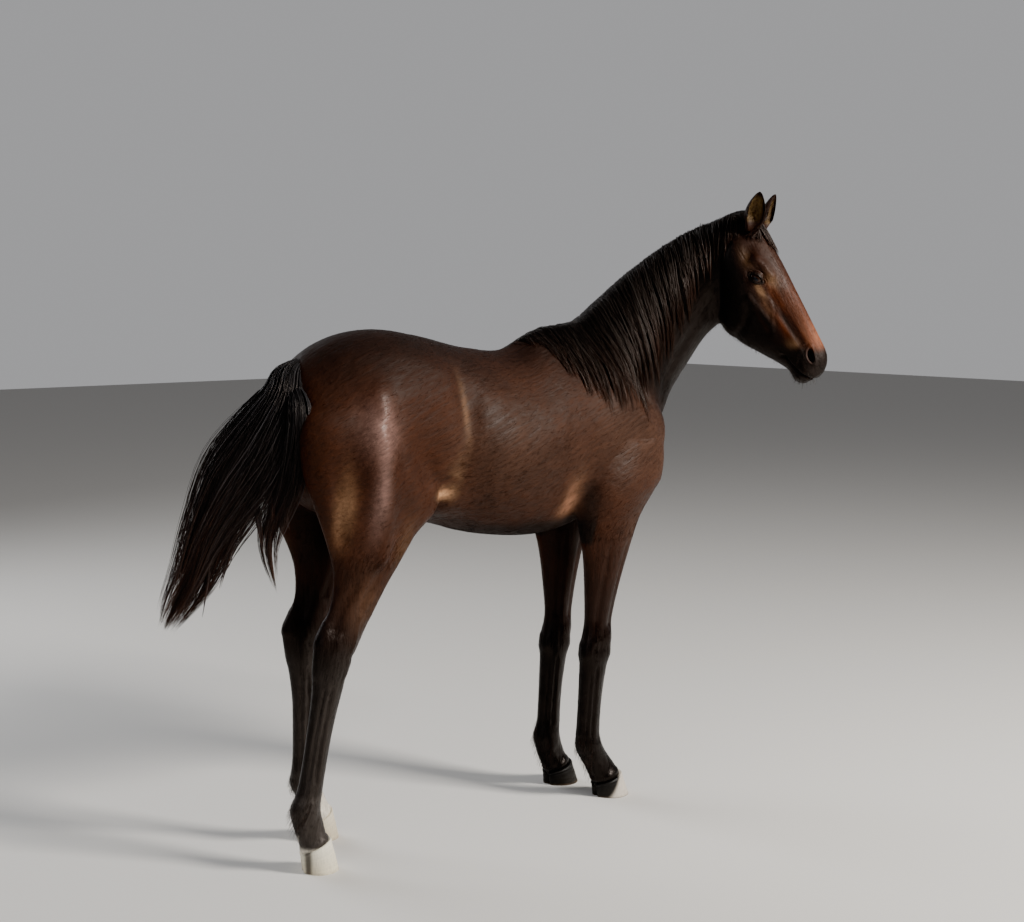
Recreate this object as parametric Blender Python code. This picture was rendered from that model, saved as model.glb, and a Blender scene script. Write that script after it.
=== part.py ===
"""A young bay horse standing still: a life-size model in named parts.

Metres, +Z up, +X towards the horse's front, +Y to its left. The floor is Z = 0. The horse
is drawn about the middle of its feet and then moved, so that the origin lies on the floor
under the middle of its whole length and width. The body is drawn with a straight neck in
its middle plane, as rings between a front (or top) outline and a back (or bottom) one,
melted into one skin, sculpted with soft brushes and parted with thin cuts. The neck is then
turned to the horse's right, vertebra by vertebra.
"""

import math
from typing import NamedTuple

import bmesh
import bpy
import numpy as np
from mathutils import Vector
from mathutils.bvhtree import BVHTree

# ---------------------------------------------------------------- driving dimensions
HEAD_LENGTH = 0.540
HEAD_PITCH = math.radians(60)  # the face line, below the horizontal
FACE = (1.054, 1.756)  # x and z of the top of the face line, before the neck turns
JOINT_GAP = 0.0004  # between parts that meet
VOXEL = 0.009
BODY_TRIANGLES = 5200


class Ring(NamedTuple):
    """One cross-section: its two outline points (x, z) and its half widths.

    The widths are those of the ellipse it follows near the first point, in the middle and
    near the second point. y is the ring's centre across the body.
    """

    name: str
    first: tuple
    second: tuple
    widths: tuple
    y: float = 0.0


TRUNK = (
    Ring("tail_root", (-0.572, 1.290), (-0.592, 1.140), (0.030, 0.050, 0.050)),
    Ring("buttock", (-0.542, 1.334), (-0.568, 1.030), (0.085, 0.128, 0.120)),
    Ring("rump", (-0.470, 1.383), (-0.500, 0.945), (0.140, 0.178, 0.150)),
    Ring("croup", (-0.370, 1.414), (-0.380, 0.905), (0.192, 0.212, 0.165)),
    Ring("hips", (-0.260, 1.419), (-0.250, 0.895), (0.212, 0.210, 0.165)),
    Ring("loins", (-0.130, 1.396), (-0.110, 0.872), (0.182, 0.206, 0.185)),
    Ring("barrel", (0.020, 1.362), (0.020, 0.834), (0.172, 0.222, 0.210)),
    Ring("back", (0.160, 1.354), (0.160, 0.812), (0.155, 0.218, 0.200)),
    Ring("girth", (0.270, 1.402), (0.270, 0.806), (0.110, 0.200, 0.180)),
    Ring("withers", (0.370, 1.418), (0.370, 0.816), (0.080, 0.188, 0.155)),
    Ring("shoulder", (0.470, 1.425), (0.470, 0.850), (0.075, 0.180, 0.150)),
    Ring("breast", (0.580, 1.380), (0.585, 0.900), (0.075, 0.172, 0.150)),
    Ring("chest", (0.670, 1.270), (0.665, 0.955), (0.080, 0.152, 0.140)),
    Ring("chest_front", (0.734, 1.190), (0.722, 1.015), (0.040, 0.090, 0.088)),
)

NECK = (
    Ring("root", (0.360, 1.400), (0.640, 1.000), (0.070, 0.150, 0.140)),
    Ring("base", (0.440, 1.428), (0.750, 1.110), (0.060, 0.140, 0.128)),
    Ring("lower", (0.540, 1.492), (0.796, 1.205), (0.046, 0.114, 0.102)),
    Ring("middle", (0.655, 1.577), (0.850, 1.292), (0.042, 0.094, 0.082)),
    Ring("upper", (0.780, 1.662), (0.905, 1.374), (0.042, 0.082, 0.066)),
    Ring("throat", (0.885, 1.714), (0.950, 1.421), (0.048, 0.080, 0.058)),
    Ring("poll", (0.975, 1.748), (0.980, 1.465), (0.050, 0.076, 0.054)),
)

# The head's rings, each as: place along the head, face line, jaw line (shares of the head's
# length, measured from the poll and from the face line), and half widths in metres.
HEAD = (
    ("nape", -0.060, -0.110, -0.33, (0.034, 0.044, 0.040)),
    ("poll", -0.022, -0.042, -0.38, (0.046, 0.060, 0.055)),
    ("brow", 0.060, -0.010, -0.41, (0.056, 0.074, 0.060)),
    ("forehead", 0.170, 0.002, -0.425, (0.066, 0.086, 0.062)),
    ("eyes", 0.30, 0.004, -0.440, (0.078, 0.093, 0.058)),
    ("cheek", 0.40, 0.003, -0.472, (0.070, 0.083, 0.056)),
    ("jowl", 0.50, 0.000, -0.474, (0.058, 0.069, 0.049)),
    ("nose", 0.60, -0.002, -0.430, (0.048, 0.057, 0.041)),
    ("bars", 0.70, -0.006, -0.366, (0.042, 0.050, 0.036)),
    ("lips", 0.80, -0.010, -0.300, (0.040, 0.047, 0.033)),
    ("nostrils", 0.88, -0.016, -0.258, (0.042, 0.050, 0.034)),
    ("chin", 0.94, -0.040, -0.258, (0.037, 0.046, 0.037)),
    ("lip_tip", 0.985, -0.088, -0.222, (0.018, 0.026, 0.024)),
)

FORELEG_Y = 0.090
FORELEG = (
    Ring("shoulder", (0.688, 1.070), (0.400, 1.080), (0.062, 0.070, 0.060), 0.110),
    Ring("triceps", (0.672, 0.955), (0.345, 0.930), (0.066, 0.076, 0.060), 0.114),
    Ring("elbow", (0.602, 0.850), (0.365, 0.835), (0.056, 0.066, 0.045), 0.108),
    Ring("forearm_top", (0.566, 0.755), (0.390, 0.740), (0.048, 0.056, 0.039), 0.102),
    Ring("forearm", (0.532, 0.650), (0.402, 0.645), (0.041, 0.046, 0.034), 0.096),
    Ring("forearm_low", (0.508, 0.545), (0.408, 0.540), (0.036, 0.037, 0.031)),
    Ring("knee_top", (0.506, 0.490), (0.398, 0.480), (0.040, 0.041, 0.036)),
    Ring("knee_low", (0.500, 0.435), (0.392, 0.430), (0.039, 0.040, 0.034)),
    Ring("cannon_top", (0.486, 0.380), (0.392, 0.375), (0.035, 0.036, 0.032)),
    Ring("cannon", (0.476, 0.300), (0.390, 0.295), (0.030, 0.032, 0.029)),
    Ring("cannon_low", (0.472, 0.215), (0.387, 0.210), (0.030, 0.032, 0.029)),
    Ring("fetlock", (0.474, 0.160), (0.381, 0.150), (0.034, 0.037, 0.033)),
    Ring("pastern", (0.498, 0.108), (0.406, 0.086), (0.032, 0.034, 0.031)),
    Ring("coronet", (0.522, 0.068), (0.432, 0.039), (0.038, 0.040, 0.036)),
    Ring("in_hoof", (0.528, 0.050), (0.440, 0.024), (0.030, 0.030, 0.026)),
)

HINDLEG_Y = 0.097
HINDLEG = (
    Ring("croup", (-0.290, 1.290), (-0.500, 1.275), (0.040, 0.050, 0.040), 0.090),
    Ring("thigh_top", (-0.195, 1.150), (-0.590, 1.190), (0.080, 0.092, 0.070), 0.118),
    Ring("thigh", (-0.165, 1.030), (-0.592, 1.070), (0.082, 0.096, 0.066), 0.122),
    Ring("stifle", (-0.174, 0.935), (-0.558, 0.970), (0.074, 0.084, 0.055), 0.122),
    Ring("gaskin_top", (-0.246, 0.850), (-0.514, 0.870), (0.060, 0.068, 0.045), 0.114),
    Ring("gaskin", (-0.305, 0.765), (-0.484, 0.785), (0.050, 0.055, 0.037), 0.106),
    Ring("gaskin_low", (-0.343, 0.690), (-0.486, 0.705), (0.042, 0.043, 0.026), 0.100),
    Ring("hock_top", (-0.370, 0.635), (-0.510, 0.650), (0.040, 0.039, 0.022)),
    Ring("hock", (-0.396, 0.585), (-0.532, 0.605), (0.042, 0.042, 0.028)),
    Ring("hock_low", (-0.412, 0.530), (-0.528, 0.530), (0.042, 0.040, 0.029)),
    Ring("cannon_top", (-0.425, 0.465), (-0.517, 0.465), (0.036, 0.035, 0.029)),
    Ring("cannon", (-0.436, 0.360), (-0.514, 0.358), (0.030, 0.029, 0.026)),
    Ring("cannon_low", (-0.440, 0.245), (-0.515, 0.240), (0.030, 0.030, 0.027)),
    Ring("fetlock", (-0.438, 0.175), (-0.522, 0.162), (0.034, 0.037, 0.032)),
    Ring("pastern", (-0.418, 0.122), (-0.492, 0.096), (0.030, 0.032, 0.028)),
    Ring("coronet", (-0.402, 0.085), (-0.480, 0.050), (0.036, 0.038, 0.034)),
    Ring("in_hoof", (-0.396, 0.064), (-0.472, 0.032), (0.030, 0.030, 0.026)),
)

# How far each leg's joints stand ahead of the drawn ones: (height, forward) pairs.
LEGS = {
    "foreleg_left": (FORELEG, FORELEG_Y, ((0.80, 0.0), (0.45, -0.004), (0.20, -0.012), (0.10, -0.022))),
    "foreleg_right": (FORELEG, -FORELEG_Y, ((0.80, 0.0), (0.45, 0.0), (0.20, -0.010), (0.10, 0.012))),
    "hindleg_left": (HINDLEG, HINDLEG_Y,
                     ((0.95, 0.0), (0.60, 0.008), (0.40, 0.020), (0.20, 0.018), (0.10, 0.028))),
    "hindleg_right": (HINDLEG, -HINDLEG_Y,
                      ((0.95, 0.0), (0.60, -0.012), (0.20, -0.088), (0.10, -0.116))),
}

# Swells and hollows pressed into the body, in the straight pose and on both sides:
# (name, centre, reach along each axis, how far out).
BRUSHES = (
    ("point_of_shoulder", (0.650, 0.120, 1.030), (0.060, 0.070, 0.070), 0.010),
    ("triceps", (0.460, 0.185, 0.970), (0.110, 0.080, 0.100), 0.010),
    ("behind_elbow", (0.325, 0.180, 0.900), (0.045, 0.060, 0.080), -0.014),
    ("shoulder_blade", (0.470, 0.160, 1.220), (0.060, 0.080, 0.140), 0.008),
    ("before_shoulder", (0.590, 0.120, 1.230), (0.035, 0.070, 0.110), -0.010),
    ("breast_groove", (0.730, 0.000, 1.090), (0.050, 0.022, 0.100), -0.014),
    ("flank_hollow", (-0.110, 0.200, 1.190), (0.060, 0.060, 0.090), -0.012),
    ("hip_point", (-0.180, 0.185, 1.320), (0.060, 0.050, 0.045), 0.009),
    ("flank_fold", (-0.135, 0.130, 0.925), (0.060, 0.050, 0.060), 0.014),
    ("thigh_groove", (-0.495, 0.170, 1.080), (0.030, 0.070, 0.150), -0.007),
    ("thigh", (-0.360, 0.215, 1.080), (0.110, 0.070, 0.120), 0.006),
    ("rump_cleft", (-0.600, 0.000, 1.080), (0.060, 0.022, 0.160), -0.030),
    ("throat_groove", (0.720, 0.080, 1.310), (0.040, 0.040, 0.080), -0.005),
    ("gaskin", (-0.300, 0.165, 0.770), (0.060, 0.040, 0.070), 0.006),
)
# How many degrees each foot is turned out, about an upright line through its fetlock.
TOE_OUT = {"foreleg_left": 4.0, "foreleg_right": 8.0, "hindleg_left": 10.0, "hindleg_right": 22.0}
FETLOCK_X = {"fore": 0.431, "hind": -0.480}


def smoothstep(values, start, stop):
    share = np.clip((values - start) / (stop - start), 0.0, 1.0)
    return share * share * (3.0 - 2.0 * share)


def head_point(along, out):
    """A point (x, z) given in shares of the head's length, before the neck turns."""
    direction = np.array((math.cos(HEAD_PITCH), -math.sin(HEAD_PITCH)))
    normal = np.array((math.sin(HEAD_PITCH), math.cos(HEAD_PITCH)))
    return np.array(FACE) + HEAD_LENGTH * (along * direction + out * normal)


def head_rings():
    rings = []
    for name, along, face, jaw, widths in HEAD:
        rings.append(Ring(name, tuple(head_point(along, face)), tuple(head_point(along, jaw)), widths))
    return rings


def ring_table(rings, across):
    """Each ring as a row of numbers: its two outline points, half widths and middle."""
    rows = []
    for ring in rings:
        rows.append((*ring.first, *ring.second, *ring.widths, ring.y if ring.y else abs(across)))
    return np.array(rows)


def spline(rows, steps):
    """The rows joined by a smooth curve, with a number of steps between neighbours."""
    before = 2.0 * rows[0] - rows[1]
    after = 2.0 * rows[-1] - rows[-2]
    keys = np.vstack((before, rows, after))
    result = []
    for index in range(1, len(keys) - 2):
        first, second, third, fourth = keys[index - 1:index + 3]
        for step in range(steps):
            t = step / steps
            result.append(
                0.5 * (2.0 * second + (third - first) * t
                       + (2.0 * first - 5.0 * second + 4.0 * third - fourth) * t * t
                       + (3.0 * second - first - 3.0 * third + fourth) * t ** 3)
            )
    result.append(rows[-1])
    return np.array(result)


def ring_points(row, sides, across):
    """The corners of one cross-section."""
    angle = np.linspace(0.0, 2.0 * math.pi, sides, endpoint=False)
    share = 0.5 - 0.5 * np.cos(angle)
    near_first = np.clip(1.0 - 2.0 * share, 0.0, 1.0) ** 2
    near_second = np.clip(2.0 * share - 1.0, 0.0, 1.0) ** 2
    half = row[5] + (row[4] - row[5]) * near_first + (row[6] - row[5]) * near_second
    points = np.empty((sides, 3))
    points[:, 0] = row[0] + (row[2] - row[0]) * share
    points[:, 2] = row[1] + (row[3] - row[1]) * share
    points[:, 1] = math.copysign(row[7], across) + half * np.sin(angle)
    return points


def add_object(name, points, faces):
    mesh = bpy.data.meshes.new(name)
    mesh.from_pydata([tuple(map(float, point)) for point in points], [], faces)
    mesh.update()
    item = bpy.data.objects.new(name, mesh)
    bpy.context.scene.collection.objects.link(item)
    work = bmesh.new()
    work.from_mesh(mesh)
    bmesh.ops.recalc_face_normals(work, faces=work.faces)
    work.to_mesh(mesh)
    work.free()
    return item


def tube(name, sections):
    """A closed skin through rings of points that all have the same number of corners."""
    sides = len(sections[0])
    points = np.vstack(sections)
    faces = []
    for row in range(len(sections) - 1):
        for side in range(sides):
            after = (side + 1) % sides
            faces.append((row * sides + side, row * sides + after,
                          (row + 1) * sides + after, (row + 1) * sides + side))
    faces.append(tuple(range(sides)))
    faces.append(tuple(range(len(points) - 1, len(points) - sides - 1, -1)))
    return add_object(name, points, faces)


def loft(name, rings, sides, steps, across=0.0):
    rows = spline(ring_table(rings, across), steps)
    if not across:
        rows[:, 7] = 0.0
    return tube(name, [ring_points(row, sides, across) for row in rows])


def only(item):
    bpy.ops.object.select_all(action="DESELECT")
    item.select_set(True)
    bpy.context.view_layer.objects.active = item


def apply_modifier(item, kind, **settings):
    only(item)
    modifier = item.modifiers.new(kind.lower(), kind)
    for key, value in settings.items():
        setattr(modifier, key, value)
    bpy.ops.object.modifier_apply(modifier=modifier.name)


def join(items):
    bpy.ops.object.select_all(action="DESELECT")
    for item in items:
        item.select_set(True)
    bpy.context.view_layer.objects.active = items[0]
    bpy.ops.object.join()
    return items[0]


def coordinates(item):
    points = np.empty(len(item.data.vertices) * 3)
    item.data.vertices.foreach_get("co", points)
    return points.reshape(-1, 3)


def normals(item):
    values = np.empty(len(item.data.vertices) * 3)
    item.data.vertices.foreach_get("normal", values)
    return values.reshape(-1, 3)


def place(item, points):
    item.data.vertices.foreach_set("co", points.ravel())
    item.data.update()


def sculpt(item):
    """Presses the swells and hollows into the skin on both sides."""
    points = coordinates(item)
    out = normals(item)
    total = np.zeros(len(points))
    for _name, centre, reach, amount in BRUSHES:
        for side in ((1.0, -1.0) if centre[1] else (1.0,)):
            offset = (points - np.array(centre) * (1.0, side, 1.0)) / np.array(reach)
            total += amount * np.exp(-np.sum(offset * offset, axis=1))
    place(item, points + out * total[:, None])


# ---------------------------------------------------------------- the pose
NECK_TURNS = ((1.0, 7.0), (2.0, 10.0), (3.0, 10.0), (4.0, 10.0), (4.9, 8.0))
POLL_TURN = 19.0
THROAT = (0.930, 1.450)
THROAT_SLOPE = 0.16


def neck_place(points):
    """How many rings of the neck lie behind each point."""
    place_now = np.zeros(len(points))
    ahead = []
    for ring in NECK:
        line = np.array(ring.first) - np.array(ring.second)
        out = np.array((line[1], -line[0])) / np.hypot(*line)
        ahead.append((points[:, (0, 2)] - np.array(ring.second)) @ out)
    for index in range(len(NECK) - 1):
        inside = (ahead[index] >= 0.0) & (ahead[index + 1] < 0.0)
        span = np.where(inside, ahead[index] - ahead[index + 1], 1.0)
        place_now = np.where(inside, index + ahead[index] / span, place_now)
    return np.where((ahead[-1] >= 0.0), len(NECK) - 1.0, place_now)


def head_share(points):
    """Nought in the neck and one in the head, across the plane behind ears and jaw."""
    edge = THROAT[0] + (points[:, 2] - THROAT[1]) * THROAT_SLOPE
    return smoothstep(points[:, 0], edge - 0.050, edge + 0.050) * (points[:, 2] > 1.0)


def turn(points, centre, degrees, share):
    angle = -math.radians(degrees) * share
    x = points[:, 0] - centre
    y = points[:, 1]
    result = points.copy()
    result[:, 0] = centre + x * np.cos(angle) - y * np.sin(angle)
    result[:, 1] = x * np.sin(angle) + y * np.cos(angle)
    return result


def neck_centre(middle):
    """The x of the joint that stands between two of the neck's rings."""
    low, high = NECK[int(middle)], NECK[min(int(middle) + 1, len(NECK) - 1)]
    part = middle - int(middle)
    return 0.5 * ((low.first[0] + low.second[0]) * (1.0 - part)
                  + (high.first[0] + high.second[0]) * part)


def toe_out(points, name, share):
    """Turns the part of a leg below its fetlock outward by a share of its toe-out."""
    across = LEGS[name][1]
    centre = FETLOCK_X[name[:4]]
    angle = math.radians(math.copysign(TOE_OUT[name], across)) * share
    x, y = points[:, 0] - centre, points[:, 1] - across
    result = points.copy()
    result[:, 0] = centre + x * np.cos(angle) - y * np.sin(angle)
    result[:, 1] = across + x * np.sin(angle) + y * np.cos(angle)
    return result


def pose(points):
    """The points moved from the straight pose to the one the horse stands in."""
    along = neck_place(points)
    head = head_share(points)
    result = turn(points, THROAT[0] + 0.02, POLL_TURN, head)
    for middle, degrees in reversed(NECK_TURNS):
        share = np.maximum(smoothstep(along, middle - 1.0, middle + 1.0), head)
        result = turn(result, neck_centre(middle), degrees, share)
    for name, (_rings, across, lean) in LEGS.items():
        heights, shifts = zip(*sorted(lean))
        mask = (points[:, 1] * across > 0) & (points[:, 2] < heights[-1])
        mask &= (points[:, 0] > 0.2) if name.startswith("fore") else (points[:, 0] < -0.1)
        result = toe_out(result, name, np.where(mask, 1.0 - smoothstep(points[:, 2], 0.09, 0.19), 0.0))
        result[:, 0] += np.where(mask, np.interp(points[:, 2], heights, shifts), 0.0)
    return result


def body_skin():
    """Trunk, neck, head and legs melted into one skin, in the straight pose."""
    parts = [loft("trunk", TRUNK, 40, 6), loft("neck", NECK, 32, 6), loft("head", head_rings(), 32, 5)]
    for name, (rings, across, _lean) in LEGS.items():
        parts.append(loft(name, rings, 24, 6, across))
    body = join(parts)
    apply_modifier(body, "REMESH", mode="VOXEL", voxel_size=VOXEL)
    apply_modifier(body, "SMOOTH", factor=0.5, iterations=6)
    sculpt(body)
    return body



def melt(item, voxel, rounds):
    apply_modifier(item, "REMESH", mode="VOXEL", voxel_size=voxel)
    apply_modifier(item, "SMOOTH", factor=0.5, iterations=rounds)


def triangulate(item):
    apply_modifier(item, "TRIANGULATE")


def thin_region(item, wanted, ratio):
    """Makes the triangles of one region fewer; wanted says which of the points lie in it."""
    only(item)
    chosen = wanted(coordinates(item))
    bpy.ops.object.mode_set(mode="EDIT")
    bpy.ops.mesh.select_all(action="DESELECT")
    bpy.ops.object.mode_set(mode="OBJECT")
    item.data.vertices.foreach_set("select", chosen)
    bpy.ops.object.mode_set(mode="EDIT")
    bpy.ops.mesh.select_mode(type="VERT")
    bpy.ops.mesh.decimate(ratio=ratio)
    bpy.ops.object.mode_set(mode="OBJECT")


def thin(item, triangles):
    triangulate(item)
    count = len(item.data.polygons)
    if count > triangles:
        apply_modifier(item, "DECIMATE", ratio=triangles / count)


def twin(item, name):
    copy = item.copy()
    copy.data = item.data.copy()
    copy.name = name
    bpy.context.scene.collection.objects.link(copy)
    return copy


def grown(item, distance):
    """A copy of a solid with its skin moved outward."""
    copy = twin(item, item.name + "_grown")
    place(copy, coordinates(copy) + normals(copy) * distance)
    return copy


def subtract(item, tool, keep_tool=False):
    apply_modifier(item, "BOOLEAN", operation="DIFFERENCE", object=tool, solver="EXACT")
    if not keep_tool:
        bpy.data.objects.remove(tool, do_unlink=True)


def part_from(item, *neighbours):
    """Takes a hair's breadth more than its neighbours' room out of a solid."""
    for neighbour in neighbours:
        subtract(item, grown(neighbour, JOINT_GAP))


def slab(name, start, stop, across, thickness):
    """A thin box across the body. Its upper face runs from start to stop, both (x, z)."""
    start = np.array(start)
    stop = np.array(stop)
    along = (stop - start) / np.hypot(*(stop - start))
    down = np.array((along[1], -along[0]))
    if down[1] > 0.0 or (abs(down[1]) < 1e-9 and down[0] > 0.0):
        down = -down
    corners = []
    for y in across:
        for point in (start, stop, stop + down * thickness, start + down * thickness):
            corners.append((point[0], y, point[1]))
    faces = [(0, 1, 2, 3), (7, 6, 5, 4), (0, 4, 5, 1), (1, 5, 6, 2), (2, 6, 7, 3), (3, 7, 4, 0)]
    return add_object(name, np.array(corners), faces)


def head_rigid(points, poll_share=1.0):
    """Carries points that are fixed to the head to where the pose takes it."""
    result = turn(points, THROAT[0] + 0.02, POLL_TURN, np.full(len(points), poll_share))
    for middle, degrees in reversed(NECK_TURNS):
        result = turn(result, neck_centre(middle), degrees, np.ones(len(points)))
    return result


def in_head(along, out, across):
    point = head_point(along, out)
    return np.array((point[0], across, point[1]))


# ---------------------------------------------------------------- ears, eyes, hooves
EAR_LENGTH = 0.105
EAR_ROOT = (0.072, -0.022, 0.055)  # along the head, out of the face line, metres across
EAR_FACING = (-6.0, -55.0)  # where the left hollow and the right one face, in degrees to the left
# Along the ear: its half width and half depth, and how deep the shell is hollowed.
EAR = (
    (-0.20, 0.018, 0.014, 0.00),
    (0.02, 0.026, 0.020, 0.10),
    (0.20, 0.031, 0.022, 0.60),
    (0.42, 0.031, 0.020, 0.74),
    (0.64, 0.026, 0.016, 0.74),
    (0.84, 0.016, 0.011, 0.70),
    (0.95, 0.008, 0.007, 0.55),
    (1.00, 0.002, 0.002, 0.00),
)
EYE_RADIUS = 0.023
EYE = (0.345, -0.140, 0.0640)


def ear(side):
    """A pricked ear: a shell rolled round a hollow that opens forward and outward."""
    root = in_head(EAR_ROOT[0], EAR_ROOT[1], EAR_ROOT[2] * side)
    axis = np.array((0.32, 0.28 * side, 0.95))
    axis /= np.linalg.norm(axis)
    facing = math.radians(EAR_FACING[0] if side > 0 else EAR_FACING[1])
    forward = np.array((math.cos(facing), math.sin(facing), -0.2))
    forward -= axis * (forward @ axis)
    forward /= np.linalg.norm(forward)
    beside = np.cross(axis, forward)
    sections = []
    for share, wide, deep, hollow in EAR:
        middle = root + axis * EAR_LENGTH * share
        spread = math.radians(140 - 30 * max(share, 0.0))
        points = []
        for step in range(7):
            angle = math.pi - spread + 2.0 * spread * step / 6
            points.append(middle + forward * deep * math.cos(angle) + beside * wide * math.sin(angle))
        rim = 0.5 * (points[0] + points[-1])
        for step in range(5, 0, -1):
            flat = rim + (points[-1] - rim) * (step - 3) / 3.0
            points.append(flat + (points[step] - flat) * hollow)
        sections.append(np.array(points))
    return tube("ear", sections)


def eye(side):
    centre = in_head(EYE[0], EYE[1], EYE[2] * side)
    bpy.ops.mesh.primitive_uv_sphere_add(segments=12, ring_count=7, radius=EYE_RADIUS)
    item = bpy.context.object
    place(item, coordinates(item) + centre)
    return item


FORE_HOOF = (
    Ring("coronet", (0.526, 0.069), (0.430, 0.038), (0.040, 0.042, 0.038)),
    Ring("wall", (0.538, 0.036), (0.433, 0.019), (0.045, 0.048, 0.041)),
    Ring("ground", (0.550, 0.000), (0.436, 0.000), (0.050, 0.053, 0.045)),
)
HIND_HOOF = (
    Ring("coronet", (-0.399, 0.086), (-0.483, 0.049), (0.038, 0.040, 0.036)),
    Ring("wall", (-0.388, 0.044), (-0.480, 0.024), (0.042, 0.044, 0.038)),
    Ring("ground", (-0.378, 0.000), (-0.477, 0.000), (0.046, 0.048, 0.040)),
)


def hoof(name, rings, across, shift):
    rows = ring_table(rings, across)
    item = tube(name, [ring_points(row, 16, across) for row in rows])
    points = toe_out(coordinates(item), name.replace("hoof_", "").replace("_", "leg_"), 1.0)
    points[:, 0] += shift
    place(item, points)
    return item


# ---------------------------------------------------------------- mane, forelock, tail
# Along the crest: x, and how low the mane's edge hangs there.
MANE = (
    (0.235, 1.375), (0.270, 1.300), (0.300, 1.285), (0.335, 1.225), (0.370, 1.235),
    (0.405, 1.175), (0.435, 1.195), (0.465, 1.145), (0.500, 1.205), (0.540, 1.180),
    (0.575, 1.155), (0.610, 1.230), (0.655, 1.235), (0.695, 1.300), (0.740, 1.325),
    (0.780, 1.400), (0.820, 1.460), (0.860, 1.540), (0.900, 1.570), (0.940, 1.610),
    (0.975, 1.650), (1.005, 1.690),
)
MANE_DRIFT = 0.020
MANE_DEPTH = (0.011, 0.015, 0.015, 0.014, 0.012, 0.005)


def surface(tree, point, direction):
    place_hit, normal, _index, _distance = tree.ray_cast(Vector(point), Vector(direction))
    if place_hit is None:
        place_hit, normal, _index, _distance = tree.find_nearest(Vector(point))
    return np.array(place_hit), np.array(normal)


def sheet(name, columns, thickness, sunk):
    """A closed solid over a grid of (place, normal) pairs that lie on the body's skin."""
    sections = []
    for column in columns:
        outer = [spot + normal * deep for (spot, normal), deep in zip(column, thickness)]
        inner = [spot - normal * sunk for spot, normal in column]
        sections.append(np.array(outer + inner[::-1]))
    return tube(name, sections)


def mane(tree):
    columns = []
    for x, low in MANE:
        column = []
        for across in (0.022, -0.004):
            spot, normal = surface(tree, (x, across, 2.2), (0.0, 0.0, -1.0))
            column.append((spot, normal))
        top = column[1][0][2]
        high = top - 0.030
        for step in range(4):
            share = step / 3.0
            height = high + (min(low, high - 0.02) - high) * share
            ahead = MANE_DRIFT * share
            spot, normal = surface(tree, (x + ahead, -0.6, height), (0.0, 1.0, 0.0))
            column.append((spot, normal))
        columns.append(column)
    return sheet("mane", columns, MANE_DEPTH, 0.012)


# Down the forehead: along the head, half width, and thickness.
FORELOCK = (
    (0.020, 0.018, 0.008), (0.080, 0.026, 0.012), (0.140, 0.028, 0.012),
    (0.200, 0.024, 0.010), (0.260, 0.015, 0.007), (0.310, 0.004, 0.003),
)


def forelock(tree):
    face = head_point(0.0, 1.0) - head_point(0.0, 0.0)
    ray = (-face[0], 0.0, -face[1])
    columns = []
    thickness = []
    for across in (-1.0, -0.5, 0.0, 0.5, 1.0):
        column = []
        for along, wide, _deep in FORELOCK:
            start = in_head(along, 0.6, across * wide - 0.006 * along / 0.3)
            spot, normal = surface(tree, start, ray)
            column.append((spot, normal))
        columns.append(column)
    thickness = [deep for _along, _wide, deep in FORELOCK]
    return sheet("forelock", columns, thickness, 0.010)


# The tail's locks: each a line of (x, y, z, half width, half thickness).
TAIL_LOCKS = (
    (
        (-0.520, 0.000, 1.328, 0.022, 0.022), (-0.567, -0.017, 1.298, 0.044, 0.032),
        (-0.602, -0.041, 1.245, 0.062, 0.040), (-0.659, -0.025, 1.140, 0.108, 0.044),
        (-0.709, 0.013, 1.032, 0.128, 0.044), (-0.762, 0.055, 0.902, 0.104, 0.040),
        (-0.795, 0.088, 0.785, 0.074, 0.034), (-0.829, 0.121, 0.695, 0.042, 0.024),
        (-0.858, 0.133, 0.636, 0.018, 0.012),
    ),
    (
        (-0.575, -0.030, 1.285, 0.024, 0.018), (-0.586, -0.094, 1.225, 0.036, 0.022),
        (-0.593, -0.095, 1.138, 0.044, 0.024), (-0.603, -0.068, 1.028, 0.052, 0.026),
        (-0.626, -0.030, 0.923, 0.044, 0.025), (-0.629, -0.016, 0.844, 0.030, 0.020),
        (-0.607, -0.019, 0.731, 0.007, 0.006),
    ),
)
TAIL_SIDEWAYS = (0.777, -0.629, 0.0)  # the direction in which the tail is spread


def tail():
    locks = []
    for lock in TAIL_LOCKS:
        rows = spline(np.array(lock), 4)
        sections = []
        for index, row in enumerate(rows):
            before = rows[max(index - 1, 0), :3]
            after = rows[min(index + 1, len(rows) - 1), :3]
            run = (after - before) / np.linalg.norm(after - before)
            wide = np.array(TAIL_SIDEWAYS) - run * (np.array(TAIL_SIDEWAYS) @ run)
            wide /= np.linalg.norm(wide)
            deep = np.cross(run, wide)
            angle = np.linspace(0.0, 2.0 * math.pi, 14, endpoint=False)[:, None]
            sections.append(row[:3] + wide * row[3] * np.cos(angle) + deep * row[4] * np.sin(angle))
        locks.append(tube("lock", sections))
    item = join(locks)
    melt(item, 0.007, 3)
    thin(item, 520)
    return item


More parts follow.
